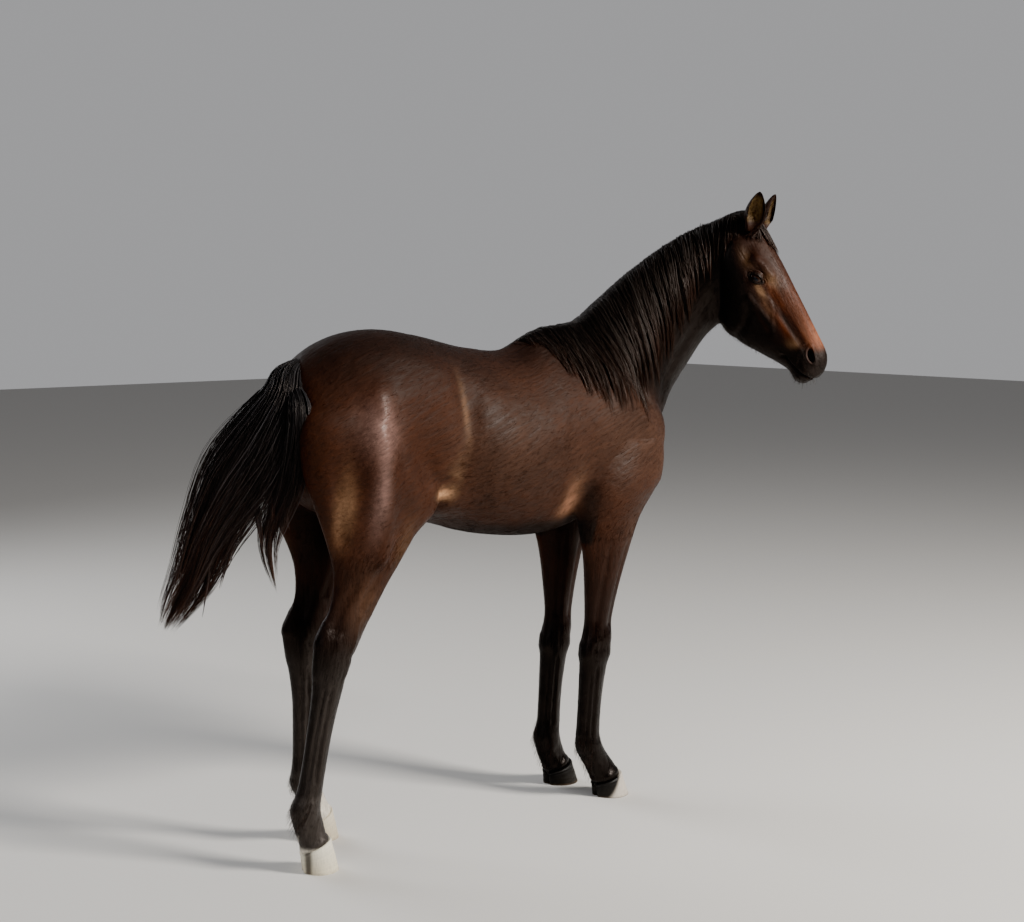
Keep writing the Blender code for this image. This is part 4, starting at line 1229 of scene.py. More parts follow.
# ---------------- the skin
@dataclass
class Skin:
    """The one skin of trunk, neck, head, ears and legs."""

    voxel: float = 0.005
    soften: int = 14
    trunk_ratio: float = 0.17
    leg_ratio: float = 0.42
    head_ratio: float = 0.8

    def loft(self, name: str, rings: Sequence[Ring], sides: int, steps: int,
             across: float = 0) -> Item:
        """A tube through rings.

        Args:
            name: the tube's name.
            rings: the rings it passes through.
            sides: corners of each cross-section.
            steps: cross-sections from one ring to the next.
            across: the leg's middle, or nought for the trunk, neck and head.

        Returns:
            The tube.
        """
        table = np.array([(*r.first, *r.second, *r.widths, r.y or abs(across)) for r in rings])
        rows = spline(table, steps)
        angle = np.linspace(0, 2 * math.pi, sides, endpoint=False)
        share = 0.5 - 0.5 * np.cos(angle)
        near_first = np.clip(1 - 2 * share, 0, 1) ** 2
        near_second = np.clip(2 * share - 1, 0, 1) ** 2
        sections = np.empty((len(rows), sides, 3))
        for section, row in zip(sections, rows):
            half = row[5] + (row[4] - row[5]) * near_first + (row[6] - row[5]) * near_second
            section[:, 0] = row[0] + (row[2] - row[0]) * share
            section[:, 2] = row[1] + (row[3] - row[1]) * share
            section[:, 1] = (math.copysign(row[7], across) if across else 0) + half * np.sin(angle)
        return tube(name, sections)

    def melted(self) -> Item:
        """The tubes melted into one skin with its broad muscles."""
        head = []
        for name, along, face, jaw, widths in HEAD:
            first, second = SKULL.point(along, face), SKULL.point(along, jaw)
            head.append(Ring(name, (first[0], first[2]), (second[0], second[2]), widths))
        parts = [self.loft("trunk_form", TRUNK, 64, 8), self.loft("neck_form", NECK, 48, 8)]
        parts.append(self.loft("head_form", head, 56, 8))
        for leg in LEGS:
            parts.append(self.loft(leg.name + "_form", leg.rings, 36, 8, leg.across))
        body = join(parts, "horse_skin")
        apply_modifier(body, "REMESH", mode="VOXEL", voxel_size=self.voxel)
        apply_modifier(body, "SMOOTH", factor=0.5, iterations=self.soften)
        points, out = vectors_of(body), vectors_of(body, "normal")
        total = np.zeros(len(points))
        for swell in SWELLS:
            for sign in (1, -1) if swell.centre[1] else (1,):
                total += swell.out * bell(points, np.array(swell.centre) * (1, sign, 1), swell.reach)
        place(body, points + out * total[:, None])
        return body

    def add_ears(self, body: Item) -> None:
        """Welds both ears on and softens the weld."""
        for side in Side:
            ear = EAR.build(side)
            apply_modifier(body, "BOOLEAN", operation="UNION", object=ear, solver="MANIFOLD")
            bpy.data.objects.remove(ear, do_unlink=True)
        points = vectors_of(body)
        near = np.zeros(len(points), dtype=bool)
        for side in Side:
            axis, _forward, _beside = EAR.axes(side)
            offset = points - EAR.base(side)
            height = offset @ axis
            beside = np.linalg.norm(offset - height[:, None] * axis, axis=1)
            near |= (np.abs(height - 0.006) < 0.018) & (beside < 0.036)
        in_edit(body, partial(MESH.vertices_smooth, factor=0.5, repeat=8), chosen=near)

    @staticmethod
    def near_face(points: Array, eye: float, nostril: float, lips: float) -> Array:
        """Finds what lies near the face's openings.

        Args:
            points: places on the straight drawing.
            eye: how near an eye, in metres.
            nostril: how near a nostril.
            lips: how near the line of the lips.

        Returns:
            Whether each point lies near one of them.
        """
        result = np.zeros(len(points), dtype=bool)
        for side in Side:
            result |= np.linalg.norm(points - EYE.centre(side), axis=1) < eye
        shares = SKULL.shares(points)
        on_head = (shares[:, 0] > 0.7) & (points[:, 0] > 1.1)
        pit = np.array((NOSTRIL.along, NOSTRIL.out))
        result |= on_head & (np.linalg.norm(shares - pit, axis=1) * SKULL.length < nostril)
        result |= on_head & (distance_to_path(shares, LIP_LINE) * SKULL.length < lips)
        return result

    def strokes(self, body: Item) -> None:
        """Presses ridges and grooves into the body, legs and face."""
        points, out = vectors_of(body), vectors_of(body, "normal")
        x, _y, z = points.T
        total = np.zeros(len(points))
        ribs = [
            Stroke("rib", ((x0, 0.18, 1.24), (x0 - 0.045, 0.21, 1.08), (x0 - 0.035, 0.19, 0.93)),
                   0.014, 0.0022)
            for x0 in RIB_STARTS
        ]
        for stroke in (*BODY_STROKES, *ribs):
            total += stroke.out * bell(distance_to_path(folded(points), stroke.path), 0, stroke.breadth)
        legs = z < 0.9
        for stroke in LEG_STROKES:
            near = legs & ((x > 0.15) == (stroke.path[0][0] > 0.15))
            far = distance_to_path(points[near][:, (0, 2)], stroke.path)
            total[near] += stroke.out * bell(far, 0, stroke.breadth)
        shares = SKULL.shares(points)
        face = (POSE.head_share(points) > 0.5) & (shares[:, 1] < 0.05)
        for stroke in FACE_STROKES:
            far = distance_to_path(shares[face], stroke.path) * SKULL.length
            total[face] += stroke.out * bell(far, 0, stroke.breadth)
        reach, b = NOSTRIL.reach(shares)
        near = face & (reach < 4) & (np.abs(points[:, 1]) > 0.012)
        pit = fall(reach, 0.45, 1.15)
        rim = bell(reach, 1.45, 0.35) * (0.55 + 0.45 * np.tanh(b / 0.006))
        total += np.where(near, NOSTRIL.rim * rim - NOSTRIL.depth * pit, 0)
        depth = COAT_DEPTH * (1 - 0.75 * EAR.share(points))
        place(body, points + out * (total - depth)[:, None])

    def lids(self, body: Item) -> None:
        """Draws the skin round each eyeball into two lids with an opening between them."""
        points = vectors_of(body)
        for side in Side:
            axes, centre = EYE.axes(side), EYE.centre(side)
            local = (points - centre) @ axes.T
            a, b, c = local.T
            reach = np.hypot(a, b)
            near = (reach < 0.05) & (c > 0)
            d = EYE.opening(a, b)
            ball = np.sqrt(np.maximum(EYE.radius**2 - reach**2, 0))
            shell = np.sqrt(np.maximum((EYE.radius + EYE.lid) ** 2 - reach**2, 0))
            margin = 0.0009 * bell(d, 0.0014, 0.0012)
            crease = -0.0034 * bell(d, 0.0085, 0.0016) * (b > 0)
            crease += -0.0016 * bell(d, 0.015, 0.002) * (b > 0)
            crease += -0.0014 * bell(d, 0.007, 0.0018) * (b <= 0)
            edge = rise(d, -0.0012, 0.0008)
            over = shell + margin
            blend = 0.0035
            share = np.clip(0.5 + 0.5 * (over - c) / blend, 0, 1)
            outside = c + (over - c) * share + blend * share * (1 - share) + crease
            inside = ball - 0.0045
            target = inside + (outside - inside) * edge
            weight = fall(reach, 0.034, 0.048)
            local[:, 2] = np.where(near, c + (target - c) * weight, c)
            points = np.where(near[:, None], local @ axes + centre, points)
        place(body, points)

    def unwrap(self, body: Item) -> None:
        """Unwraps the skin on its own shape."""
        body.data.uv_layers.new(name=BAKE_MAP)
        unwrap = partial(bpy.ops.uv.smart_project, angle_limit=1.15, island_margin=0.002)
        in_edit(body, partial(unwrap, scale_to_bounds=True))

    def build(self) -> Item:
        """The finished skin, still in the straight drawing."""
        body = self.melted()
        LOG.info("melted: %d points", len(body.data.vertices))
        self.add_ears(body)
        apply_modifier(body, "TRIANGULATE")
        edge = POSE.throat[0] + 0.02
        regions = (
            (lambda x, z: (x < edge) & (z > 0.85), self.trunk_ratio),
            (lambda x, z: z < 0.85, self.leg_ratio),
            (lambda x, z: x > edge, self.head_ratio),
        )
        for region, ratio in regions:
            x, _y, z = vectors_of(body).T
            in_edit(body, partial(MESH.decimate, ratio=ratio), chosen=region(x, z))
        self.unwrap(body)
        for reach in ((0.046, 0.04, 0.016), (0.034, 0.024, 0.009)):
            near = self.near_face(vectors_of(body), *reach)
            in_edit(body, partial(MESH.subdivide, number_cuts=1), chosen=near)
        apply_modifier(body, "TRIANGULATE")
        LOG.info("skin before sculpting: %d triangles", len(body.data.polygons))
        self.strokes(body)
        self.lids(body)
        smooth(body)
        return body


def paint(item: Item, roots: Array | None = None) -> None:
    """Writes what the coat's finish reads: colour, place in the drawing and lie of the hair.

    Args:
        item: the piece, still in the straight drawing.
        roots: the place on the skin that each point belongs to, or None for its own.
    """
    points = vectors_of(item) if roots is None else roots
    write_attribute(item, "coat_colour", COLOURS.paint(points))
    write_attribute(item, "rest_place", vectors_of(item))
    write_attribute(item, "lie_shares", lie_shares(points))


class SkinMap:
    """The finished skin as arrays, for laying hair on it."""

    def __init__(self, body: Item) -> None:
        """Reads the skin's points, triangles and unwrap."""
        mesh = body.data
        self.points = vectors_of(body)
        self.normals = vectors_of(body, "normal")
        corners = np.empty(len(mesh.loops), dtype=np.int32)
        mesh.loops.foreach_get("vertex_index", corners)
        self.faces = corners.reshape(-1, 3)
        flat = np.empty(len(mesh.loops) * 2, dtype=np.float32)
        mesh.uv_layers[BAKE_MAP].data.foreach_get("uv", flat)
        self.patches = flat.reshape(-1, 3, 2)
        places = self.points[self.faces]
        self.middles = places.mean(axis=1)
        crosses = np.cross(places[:, 1] - places[:, 0], places[:, 2] - places[:, 0])
        self.areas = 0.5 * np.linalg.norm(crosses, axis=1)
        self.tree = BVHTree.FromPolygons(self.points.tolist(), self.faces.tolist())

    def sample(self, count: int, weights: Array, rng: Chance) -> tuple:
        """Picks places on the skin at random.

        Args:
            count: how many places.
            weights: how dense they are on each triangle.
            rng: the source of chance.

        Returns:
            The places, the normals there, and their places on the unwrap.
        """
        chance = self.areas * weights
        index = rng.choice(len(chance), count, p=chance / chance.sum())
        root, part = np.sqrt(rng.random(count)), rng.random(count)
        shares = np.stack((1 - root, root * (1 - part), root * part), axis=1)[:, :, None]
        places = np.sum(self.points[self.faces[index]] * shares, axis=1)
        normals = unit(np.sum(self.normals[self.faces[index]] * shares, axis=1))
        return places, normals, np.sum(self.patches[index] * shares, axis=1)

    def nearest(self, places: Array) -> tuple:
        """The nearest places on the skin, the normals there, and their places on the unwrap."""
        spots, index = np.empty_like(places), np.empty(len(places), dtype=int)
        for row, wanted in enumerate(places):
            spot, _normal, index[row], _distance = self.tree.find_nearest(wanted)
            spots[row] = spot
        normals = unit(self.normals[self.faces[index]].mean(axis=1))
        return spots, normals, self.patches[index].mean(axis=1)

    def strike(self, start: Array, direction: Array) -> tuple | None:
        """Sends a ray at the skin.

        Args:
            start: where the ray starts.
            direction: which way it goes.

        Returns:
            The place that it meets and the normal there, or None.
        """
        spot, _normal, index, _distance = self.tree.ray_cast(Vector(start), Vector(direction))
        if spot is None:
            return None
        return np.array(spot), unit(self.normals[self.faces[index]].mean(axis=0))


class ShapeMap:
    """A patch of skin as a grid of places and normals, to be read at any two numbers."""

    def __init__(self, across: Array, along: Array, places: Array, normals: Array) -> None:
        """Keeps a grid whose rows follow across and whose columns follow along."""
        self.across, self.along = across, along
        self.places, self.normals = places, normals

    def at(self, a: Array, b: Array, height: Array) -> Array:
        """Reads the map.

        Args:
            a: each place's number along the rows.
            b: each place's number along the columns.
            height: how far above the skin it lies.

        Returns:
            The places.
        """
        rows, columns = (
            np.clip((values - ticks[0]) / (ticks[1] - ticks[0]), 0, len(ticks) - 1.001)
            for values, ticks in ((a, self.across), (b, self.along))
        )
        i, j = rows.astype(int), columns.astype(int)
        p, q = (rows - i)[..., None], (columns - j)[..., None]
        result = []
        for grid in (self.places, self.normals):
            near = grid[i, j] * (1 - q) + grid[i, j + 1] * q
            far = grid[i + 1, j] * (1 - q) + grid[i + 1, j + 1] * q
            result.append(near * (1 - p) + far * p)
        return result[0] + unit(result[1]) * height[..., None]


# ---------------- hair
def strands(name: str, paths: Array, widths: Array, up: Array, flat: float) -> Item:
    """Makes closed three-sided hairs along paths.

    Args:
        name: the new object's name.
        paths: the hairs' middles, an array of hairs by places by three; each last one is a tip.
        widths: the half width at each place but the tips.
        up: for each hair, the way its thin side faces.
        flat: its thickness as a share of its width.

    Returns:
        All the hairs as one object.
    """
    count, rows = paths.shape[:2]
    runs = unit(np.gradient(paths, axis=1))[:, :-1]
    wide = unit(np.cross(runs, up[:, None, :]))
    deep = np.cross(runs, wide)
    angles = np.radians((90, 210, 330))
    turned = [
        paths[:, :-1] + widths[..., None] * (wide * math.cos(angle) + flat * deep * math.sin(angle))
        for angle in angles
    ]
    rings = np.stack(turned, axis=2).reshape(count, -1, 3)
    points = np.concatenate((rings, paths[:, -1:]), axis=1)
    each = 3 * (rows - 1) + 1
    faces = [(0, 2, 1)]
    for row in range(rows - 2):
        for side in range(3):
            a, b = 3 * row + side, 3 * row + (side + 1) % 3
            faces += [(a, b, b + 3), (a, b + 3, a + 3)]
    last = 3 * (rows - 2)
    faces += [(last + side, last + (side + 1) % 3, each - 1) for side in range(3)]
    all_faces = (np.arange(count)[:, None, None] * each + np.array(faces)[None]).reshape(-1, 3)
    return from_arrays(name, points.reshape(-1, 3), all_faces)


def patch_map(item: Item, patches: Array, rows: int) -> None:
    """Gives each hair a small patch of the unwrap at its root.

    Args:
        item: the hairs.
        patches: the place of each root on the skin's unwrap.
        rows: how many places each hair's path has.
    """
    each = 3 * (rows - 1) + 1
    local = np.zeros((each, 2))
    for row in range(rows - 1):
        for side in range(3):
            local[3 * row + side] = (side / 2, row / (rows - 1))
    local[-1] = (0.5, 1)
    corner = np.clip(patches - 0.5 * TUFT_PATCH, 0, 1 - TUFT_PATCH)
    spots = (corner[:, None, :] + TUFT_PATCH * local[None]).reshape(-1, 2)
    loops = np.empty(len(item.data.loops), dtype=np.int32)
    item.data.loops.foreach_get("vertex_index", loops)
    layer = item.data.uv_layers.new(name=BAKE_MAP)
    layer.data.foreach_set("uv", spots[loops].astype(np.float32).ravel())


def spread(values: Array, rows: int) -> Array:
    """Repeats one row for each hair over all the points of that hair."""
    return np.repeat(values, 3 * (rows - 1) + 1, axis=0)


@dataclass
class Fur:
    """Short tufts that lie along the coat over one part of the body."""

    name: str
    count: int
    slot_name: str
    seed: int
    length: tuple
    width: float
    lift: float
    where: Callable
    rows: int = 3

    def build(self, skin: SkinMap, material: Material) -> Item:
        """Lays the tufts on the skin.

        Args:
            skin: the finished skin.
            material: the coat's finish.

        Returns:
            The tufts as one object, in the straight drawing.
        """
        rng = np.random.default_rng(self.seed)
        roots, normals, patches = skin.sample(self.count, self.where(skin.middles), rng)
        flow = lie_of(roots, normals)
        flow = unit(flow + 0.16 * rng.standard_normal((self.count, 1)) * np.cross(normals, flow))
        length = rng.uniform(*self.length, self.count) * length_share(roots)
        lift = self.lift * (0.2 + rng.random(self.count) ** 2) * standing(roots)
        paths = [roots - normals * 0.0006]
        for step in range(1, self.rows):
            share = step / (self.rows - 1)
            spots, out, _patches = skin.nearest(roots + flow * (length * share)[:, None])
            paths.append(spots + out * (0.0003 + lift * share**1.5)[:, None])
        paths = np.stack(paths, axis=1)
        width = self.width * rng.uniform(0.7, 1.2, (self.count, 1)) * np.linspace(1, 0.7, self.rows - 1)
        item = strands(self.name, paths, width, normals, 0.35)
        patch_map(item, patches, self.rows)
        colours = COLOURS.paint(roots)
        colours[:, :3] *= np.exp(0.09 * rng.standard_normal((self.count, 1)))
        write_attribute(item, "coat_colour", spread(colours, self.rows))
        write_attribute(item, "rest_place", vectors_of(item))
        write_attribute(item, "lie_shares", spread(lie_shares(roots), self.rows))
        settle(item)
        dress(item, material, self.slot_name)
        return item


def length_share(points: Array) -> Array:
    """How long the coat is at each point, as a share of its length on the trunk."""
    _x, y, z = folded(points).T
    share = 1 + 0.35 * fall(z, 0.86, 1) * (z > 0.8) * (y < 0.2)
    return share + 0.5 * on_heels(points)


def standing(points: Array) -> Array:
    """How far the coat stands out at each point, as a share of its usual lift."""
    rough = bell(points[:, (0, 2)], (0.1, 0.98), (0.22, 0.12))
    return 0.7 + 1.2 * rough + 0.8 * on_heels(points)


def on_heels(points: Array) -> Array:
    """One behind the fetlocks and pasterns, where the coat is long, and nought elsewhere."""
    x, _y, z = points.T
    return 1 * (np.where(x > 0.15, x < 0.425, x < -0.485) & (z < 0.2) & (z > 0.06))


def settle(item: Item, rigid: bool = False) -> None:
    """Moves a piece from the drawing to the pose, and onto the middle of the floor."""
    place(item, POSE.apply(vectors_of(item), rigid) + CENTRED)


@dataclass
class LongHair:
    """What the mane, forelock and tail share: finish, colours and building of their strands."""

    material: Material
    skin: SkinMap
    width: float = 0.00105
    # light is the share of strands painted lighter, and glint their colour: a painted highlight, stronger
    # towards the tips.
    light: float = 0
    glint: Array = field(default_factory=lambda: ASH)
    tip: Array = field(default_factory=lambda: BROWN)
    base: Array = field(default_factory=lambda: BLACK)

    def lay(self, name: str, paths: Array, rng: Chance, brown: float, node: str,
            posed: bool = True) -> Item:
        """Makes strands along paths and dresses them.

        Args:
            name: the piece's name.
            paths: the strands' middles.
            rng: the source of chance.
            brown: how much browner the tips are.
            node: the solid that the piece stands for, or nothing.
            posed: whether the paths are in the straight drawing.

        Returns:
            The piece.
        """
        count, rows = paths.shape[:2]
        along = np.linspace(0, 1, rows)[:-1]
        width = self.width * rng.uniform(0.6, 1.25, (count, 1)) * (1 - 0.72 * along**2)
        up = unit(rng.standard_normal((count, 3)) + np.array((0, -1.5, 0.5)))
        item = strands(name, paths, width, up, 0.6)
        _spots, _normals, patches = self.skin.nearest(paths[:, 0])
        patch_map(item, patches, rows)
        tipward = np.append(np.repeat(np.linspace(0, 1, rows - 1), 3), 1)[None, :, None]
        tone = np.exp(0.35 * rng.standard_normal((count, 1, 1)))
        fade = brown * tipward**3
        colours = self.base * (1 - fade) + self.tip * fade
        # Painted highlight on a share of the strands.
        lit = (rng.random((count, 1, 1)) < self.light) * rng.uniform(0.4, 1, (count, 1, 1))
        lit = lit * (0.25 + 0.75 * tipward)
        colours = ((colours * (1 - lit) + self.glint * lit) * tone).reshape(-1, 3)
        write_attribute(item, "lock_colour", np.hstack((colours, np.ones((len(colours), 1)))))
        if posed:
            settle(item)
        else:
            place(item, vectors_of(item) + CENTRED)
        dress(item, self.material, "hair", *((node,) if node else ()))
        return item


@dataclass
class Mane(LongHair):
    """The mane: locks that part on the crest and hang down the right side of the neck."""

    locks: int = 74
    seed: int = 11
    each: int = 42
    rows: int = 14
    drift: float = 0.02
    # Along the crest, in millimetres: x, and how low the mane's edge hangs there.
    edge: tuple = scaled_down((
        (235, 1375), (270, 1300), (300, 1285), (335, 1225), (370, 1235),
        (405, 1175), (435, 1195), (465, 1145), (500, 1205), (540, 1180),
        (575, 1155), (610, 1230), (655, 1235), (695, 1300), (740, 1325),
        (780, 1400), (820, 1460), (860, 1540), (900, 1570), (940, 1610),
        (975, 1650), (1015, 1690),
    ), 1000)

    def crest_map(self) -> ShapeMap:
        """The skin over the crest and down the right side, by x and by length from the ridge."""
        across, along = np.linspace(0.2, 1.06, 87), np.linspace(-0.03, 0.45, 97)
        places, normals = [], []
        for x in across:
            spots = [self.skin.strike((x, y, 2.3), (0, 0, -1)) for y in np.arange(0.03, -0.031, -0.006)]
            low = spots[-1][0][2] - 0.006
            spots += [self.skin.strike((x, -0.7, z), (0, 1, 0)) for z in np.arange(low, 0.96, -0.01)]
            spots = [spot for spot in spots if spot is not None]
            line, out = np.array([s[0] for s in spots]), np.array([s[1] for s in spots])
            length = np.concatenate(((0,), np.cumsum(np.linalg.norm(np.diff(line, axis=0), axis=1))))
            length -= np.interp(0, -line[:11, 1], length[:11])
            places.append(np.stack([np.interp(along, length, line[:, k]) for k in range(3)], axis=1))
            normals.append(np.stack([np.interp(along, length, out[:, k]) for k in range(3)], axis=1))
        return ShapeMap(across, along, np.array(places), np.array(normals))

    def build(self) -> list:
        """The mane, as two pieces."""
        shape = self.crest_map()
        rng = np.random.default_rng(self.seed)
        edge = np.array(self.edge)
        middle = np.linspace(edge[0, 0], edge[-1, 0], self.locks) + rng.uniform(-0.004, 0.004, self.locks)
        low = np.interp(middle, edge[:, 0], edge[:, 1]) + rng.uniform(-0.03, 0.018, self.locks)
        ends = np.empty(self.locks)
        for index, (x, height) in enumerate(zip(middle, low)):
            row = int(np.clip((x + self.drift - 0.2) / 0.01, 0, 86))
            down = shape.places[row][:, 2]
            ends[index] = np.interp(-height, -down[6:], shape.along[6:])
        lock = np.repeat(np.arange(self.locks), self.each)
        count = len(lock)
        s = np.linspace(0, 1, self.rows)[None]
        reach = rng.beta(2.6, 1.3, (count, 1)) * 0.6 + 0.44
        start = rng.uniform(-0.012, 0.006, (count, 1))
        beside = rng.normal(0, 0.0095, (count, 1))
        gather = 1 - 0.8 * rise(s, 0.1, 0.95)
        phase = rng.uniform(0, 6.28, (2, self.locks, 1))[:, lock]
        swing = rng.uniform(0.001, 0.006, (self.locks, 1))[lock]
        ripple = rng.uniform(0, 6.28, (count, 1))
        wave = swing * np.sin(phase[0] + 7 * s) * s + 0.0012 * np.sin(ripple + 17 * s) * s
        drift = self.drift * s**1.3 * rng.uniform(0.3, 1.6, (self.locks, 1))[lock]
        x = middle[lock][:, None] + beside * gather + drift + wave
        length = start + (ends[lock][:, None] * reach - start) * s
        layer = rng.random((count, 1)) * 0.7 + rng.random((self.locks, 1))[lock] * 0.3
        lifted = 0.004 + 0.011 * rise(s, 0, 0.18)
        height = 0.001 + layer * lifted * (1 - 0.5 * rise(s, 0.65, 1))
        height = height + 0.002 * np.sin(phase[1] + 9 * s) * s
        height = height * (1 - 0.55 * rise(middle[lock][:, None], 0.88, 0.98))
        height = height * (0.25 + 0.75 * rise(middle[lock][:, None], 0.23, 0.36))
        paths = shape.at(x, length, np.maximum(height, 0.0008))
        names = ("mane_withers", "mane_poll")
        return [self.lay(name, part, rng, 0.5, "mane") for name, part in zip(names, np.split(paths, 2))]


@dataclass
class Forelock(LongHair):
    """The forelock: short locks from between the ears down the forehead."""

    # Each lock, in thousandths: its start along the head and across it, and its end.
    locks: tuple = scaled_down((
        (-40, 10, 150, 32), (-30, 4, 200, 20), (-20, 0, 265, 8),
        (-20, -4, 275, -6), (-30, -8, 235, -20), (-10, -2, 210, 0),
        (-40, -12, 190, -34), (-50, 14, 90, 38), (-50, -14, 110, -42),
        (10, 4, 190, 14), (10, -6, 220, -12), (0, 10, 235, 24),
        (0, -15, 150, -50), (20, -10, 185, -42), (-20, -20, 130, -56),
    ), 1000)
    each: int = 64
    seed: int = 12
    rows: int = 11

    def build(self) -> Item:
        """The forelock."""
        along, across = np.linspace(-0.05, 0.36, 42), np.linspace(-0.06, 0.06, 41)
        places, normals = [], []
        for u in along:
            hits = [self.skin.strike(SKULL.point(u, 0.5, y), -SKULL.out) for y in across]
            places.append([hit[0] for hit in hits])
            normals.append([hit[1] for hit in hits])
        shape = ShapeMap(along, across, np.array(places), np.array(normals))
        rng = np.random.default_rng(self.seed)
        lock = np.repeat(np.arange(len(self.locks)), self.each)
        rows = np.array(self.locks)[lock]
        count = len(lock)
        s = np.linspace(0, 1, self.rows)[None]
        gather = 1 - 0.75 * rise(s, 0.1, 1)
        reach = rng.uniform(0.7, 1.05, (count, 1))
        u = rows[:, :1] + rng.normal(0, 0.018, (count, 1)) * gather + (rows[:, 2:3] - rows[:, :1]) * reach * s
        y = rows[:, 1:2] + rng.normal(0, 0.007, (count, 1)) * gather + (rows[:, 3:4] - rows[:, 1:2]) * s
        y = y + 0.002 * np.sin(rng.uniform(0, 6.28, (len(self.locks), 1))[lock] + 6 * s) * s
        height = 0.001 + rng.random((count, 1)) * 0.013 * rise(s, 0, 0.3) * (1 - 0.6 * s)
        return self.lay("forelock_hair", shape.at(u, y, height), rng, 0.4, "forelock")


@dataclass
class Tail(LongHair):
    """The tail: a dock under strands that spread and end in wisps, and locks over the rump."""

    spread_way: tuple = (0.777, -0.629, 0)
    rows: int = 19
    seed: int = 13
    # Each lock: its strands, its wisps, and a line of x, y, z, half width and half thickness.
    locks: tuple = (
        (1900, 22, scaled_down((
            (-520, 0, 1328, 22, 22), (-567, -17, 1298, 44, 32),
            (-602, -41, 1245, 62, 40), (-659, -25, 1140, 108, 44),
            (-709, 13, 1032, 128, 44), (-762, 55, 902, 104, 40),
            (-795, 88, 785, 82, 36), (-829, 121, 695, 56, 28),
            (-858, 133, 636, 28, 18),
        ), 1000)),
        (800, 10, scaled_down((
            (-575, -30, 1285, 24, 18), (-586, -94, 1225, 36, 22),
            (-593, -95, 1138, 44, 24), (-603, -68, 1028, 52, 26),
            (-626, -30, 923, 44, 25), (-629, -16, 844, 30, 20),
            (-607, -19, 731, 7, 6),
        ), 1000)),
    )
    # Where the tail hangs straight down: (x, y) of its middle.
    plumb: tuple = (-0.709, 0.013)
    # Each thin lock that hangs clear: how far beside the plumb line, how high, its half width.
    hanging: tuple = scaled_down((
        ((13, 1130, 18), (30, 985, 16), (8, 855, 3)),
        ((-20, 1080, 18), (-16, 880, 16), (-46, 740, 4)),
        ((-70, 1010, 18), (-72, 828, 14), (-94, 672, 3)),
        ((-112, 930, 18), (-112, 775, 16), (-138, 668, 6)),
        ((60, 1150, 16), (93, 985, 14), (83, 865, 2)),
        ((105, 1170, 18), (130, 1010, 16), (142, 902, 6)),
        ((35, 1090, 14), (58, 932, 10), (70, 840, 2)),
    ), 1000)

    def frames(self, rows: Array) -> tuple:
        """The middles of a lock, and the ways in which it is broad and thick at each."""
        runs = unit(np.gradient(rows[:, :3], axis=0))
        wide = np.array(self.spread_way)[None]
        wide = unit(wide - runs * np.sum(wide * runs, axis=1, keepdims=True))
        return rows[:, :3], wide, np.cross(runs, wide)

    def wander(self, row: tuple, rng: Chance) -> Array:
        """Spreads one lock's strands.

        Args:
            row: the number of strands and of wisps, and the lock's line.
            rng: the source of chance.

        Returns:
            The strands' paths.
        """
        count, wisps, line = row
        table = spline(np.array(line), 8)
        at = np.linspace(0, 1, len(table))
        middle, wide, deep = self.frames(table)
        group = rng.integers(0, wisps, count)
        angle = rng.uniform(0, 2 * math.pi, wisps)
        centre = np.stack((np.cos(angle), np.sin(angle)), axis=1) * np.sqrt(rng.random((wisps, 1)))
        loss = np.where(centre[:, 0] > 0, 0.44, 0.08)
        end = 1 - loss * np.abs(centre[:, 0]) ** 1.2 * rng.uniform(0, 1, wisps)
        own = rng.uniform(0, 2 * math.pi, count)
        own = np.stack((np.cos(own), np.sin(own)), axis=1) * np.sqrt(rng.random((count, 1)))
        s = np.linspace(0, 1, self.rows)[None]
        at_root = rng.random((count, 1)) < 0.55
        near, anywhere = (rng.uniform(0, most, (count, 1)) for most in (0.05, 0.3))
        first = np.where(at_root, near, anywhere)
        reach = end[group][:, None] * rng.uniform(0.72, 1, (count, 1))
        t = first + (reach - first) * s
        gather = rise(t, 0.15, 0.9) * 0.82
        place_on = own[:, None] * (1 - gather[..., None]) + centre[group][:, None] * gather[..., None]
        wave = rng.uniform(0, 6.28, (wisps, 1))[group]
        place_on[..., 0] += 0.1 * np.sin(wave + 9 * t) * t
        place_on[..., 1] += 0.1 * np.sin(1.7 * wave + 8 * t) * t
        result = np.zeros((count, self.rows, 3))
        for k in range(3):
            result[..., k] = np.interp(t, at, middle[:, k])
            side = np.interp(t, at, table[:, 3]) * np.interp(t, at, wide[:, k])
            thick = np.interp(t, at, table[:, 4]) * np.interp(t, at, deep[:, k])
            result[..., k] += place_on[..., 0] * side + place_on[..., 1] * thick
        return result

    def core(self) -> Item:
        """The dock and the dense hair in the middle of the tail."""
        table = spline(np.array(self.locks[0][2])[:7], 5)
        middle, wide, deep = self.frames(table)
        angle = np.linspace(0, 2 * math.pi, 20, endpoint=False)[None, :, None]
        slim = np.linspace(0.82, 0.45, len(table))[:, None, None]
        sections = middle[:, None] + slim * (
            wide[:, None] * table[:, 3][:, None, None] * np.cos(angle)
            + deep[:, None] * table[:, 4][:, None, None] * np.sin(angle))
        item = tube("tail_core", sections)
        colours = np.tile((*(BLACK * 0.8), 1), (len(item.data.vertices), 1))
        write_attribute(item, "lock_colour", colours)
        place(item, vectors_of(item) + CENTRED)
        smooth(item)
        dress(item, self.material, "hair", "tail")
        return item

    def build(self) -> list:
        """The tail, as a core and two pieces of strands."""
        rng = np.random.default_rng(self.seed)
        (x, y), (east, south, _up) = self.plumb, self.spread_way
        thin = []
        for line in self.hanging:
            rows = tuple((x + east * far, y + south * far, z, wide, 0.7 * wide) for far, z, wide in line)
            thin.append((80, 3, rows))
        paths = np.concatenate([self.wander(row, rng) for row in (*self.locks, *thin)])
        pieces = [self.core()]
        for name, part in zip(("tail_left", "tail_right"), np.split(paths, 2)):
            pieces.append(self.lay(name, part, rng, 0.7, "tail", posed=False))
        return pieces


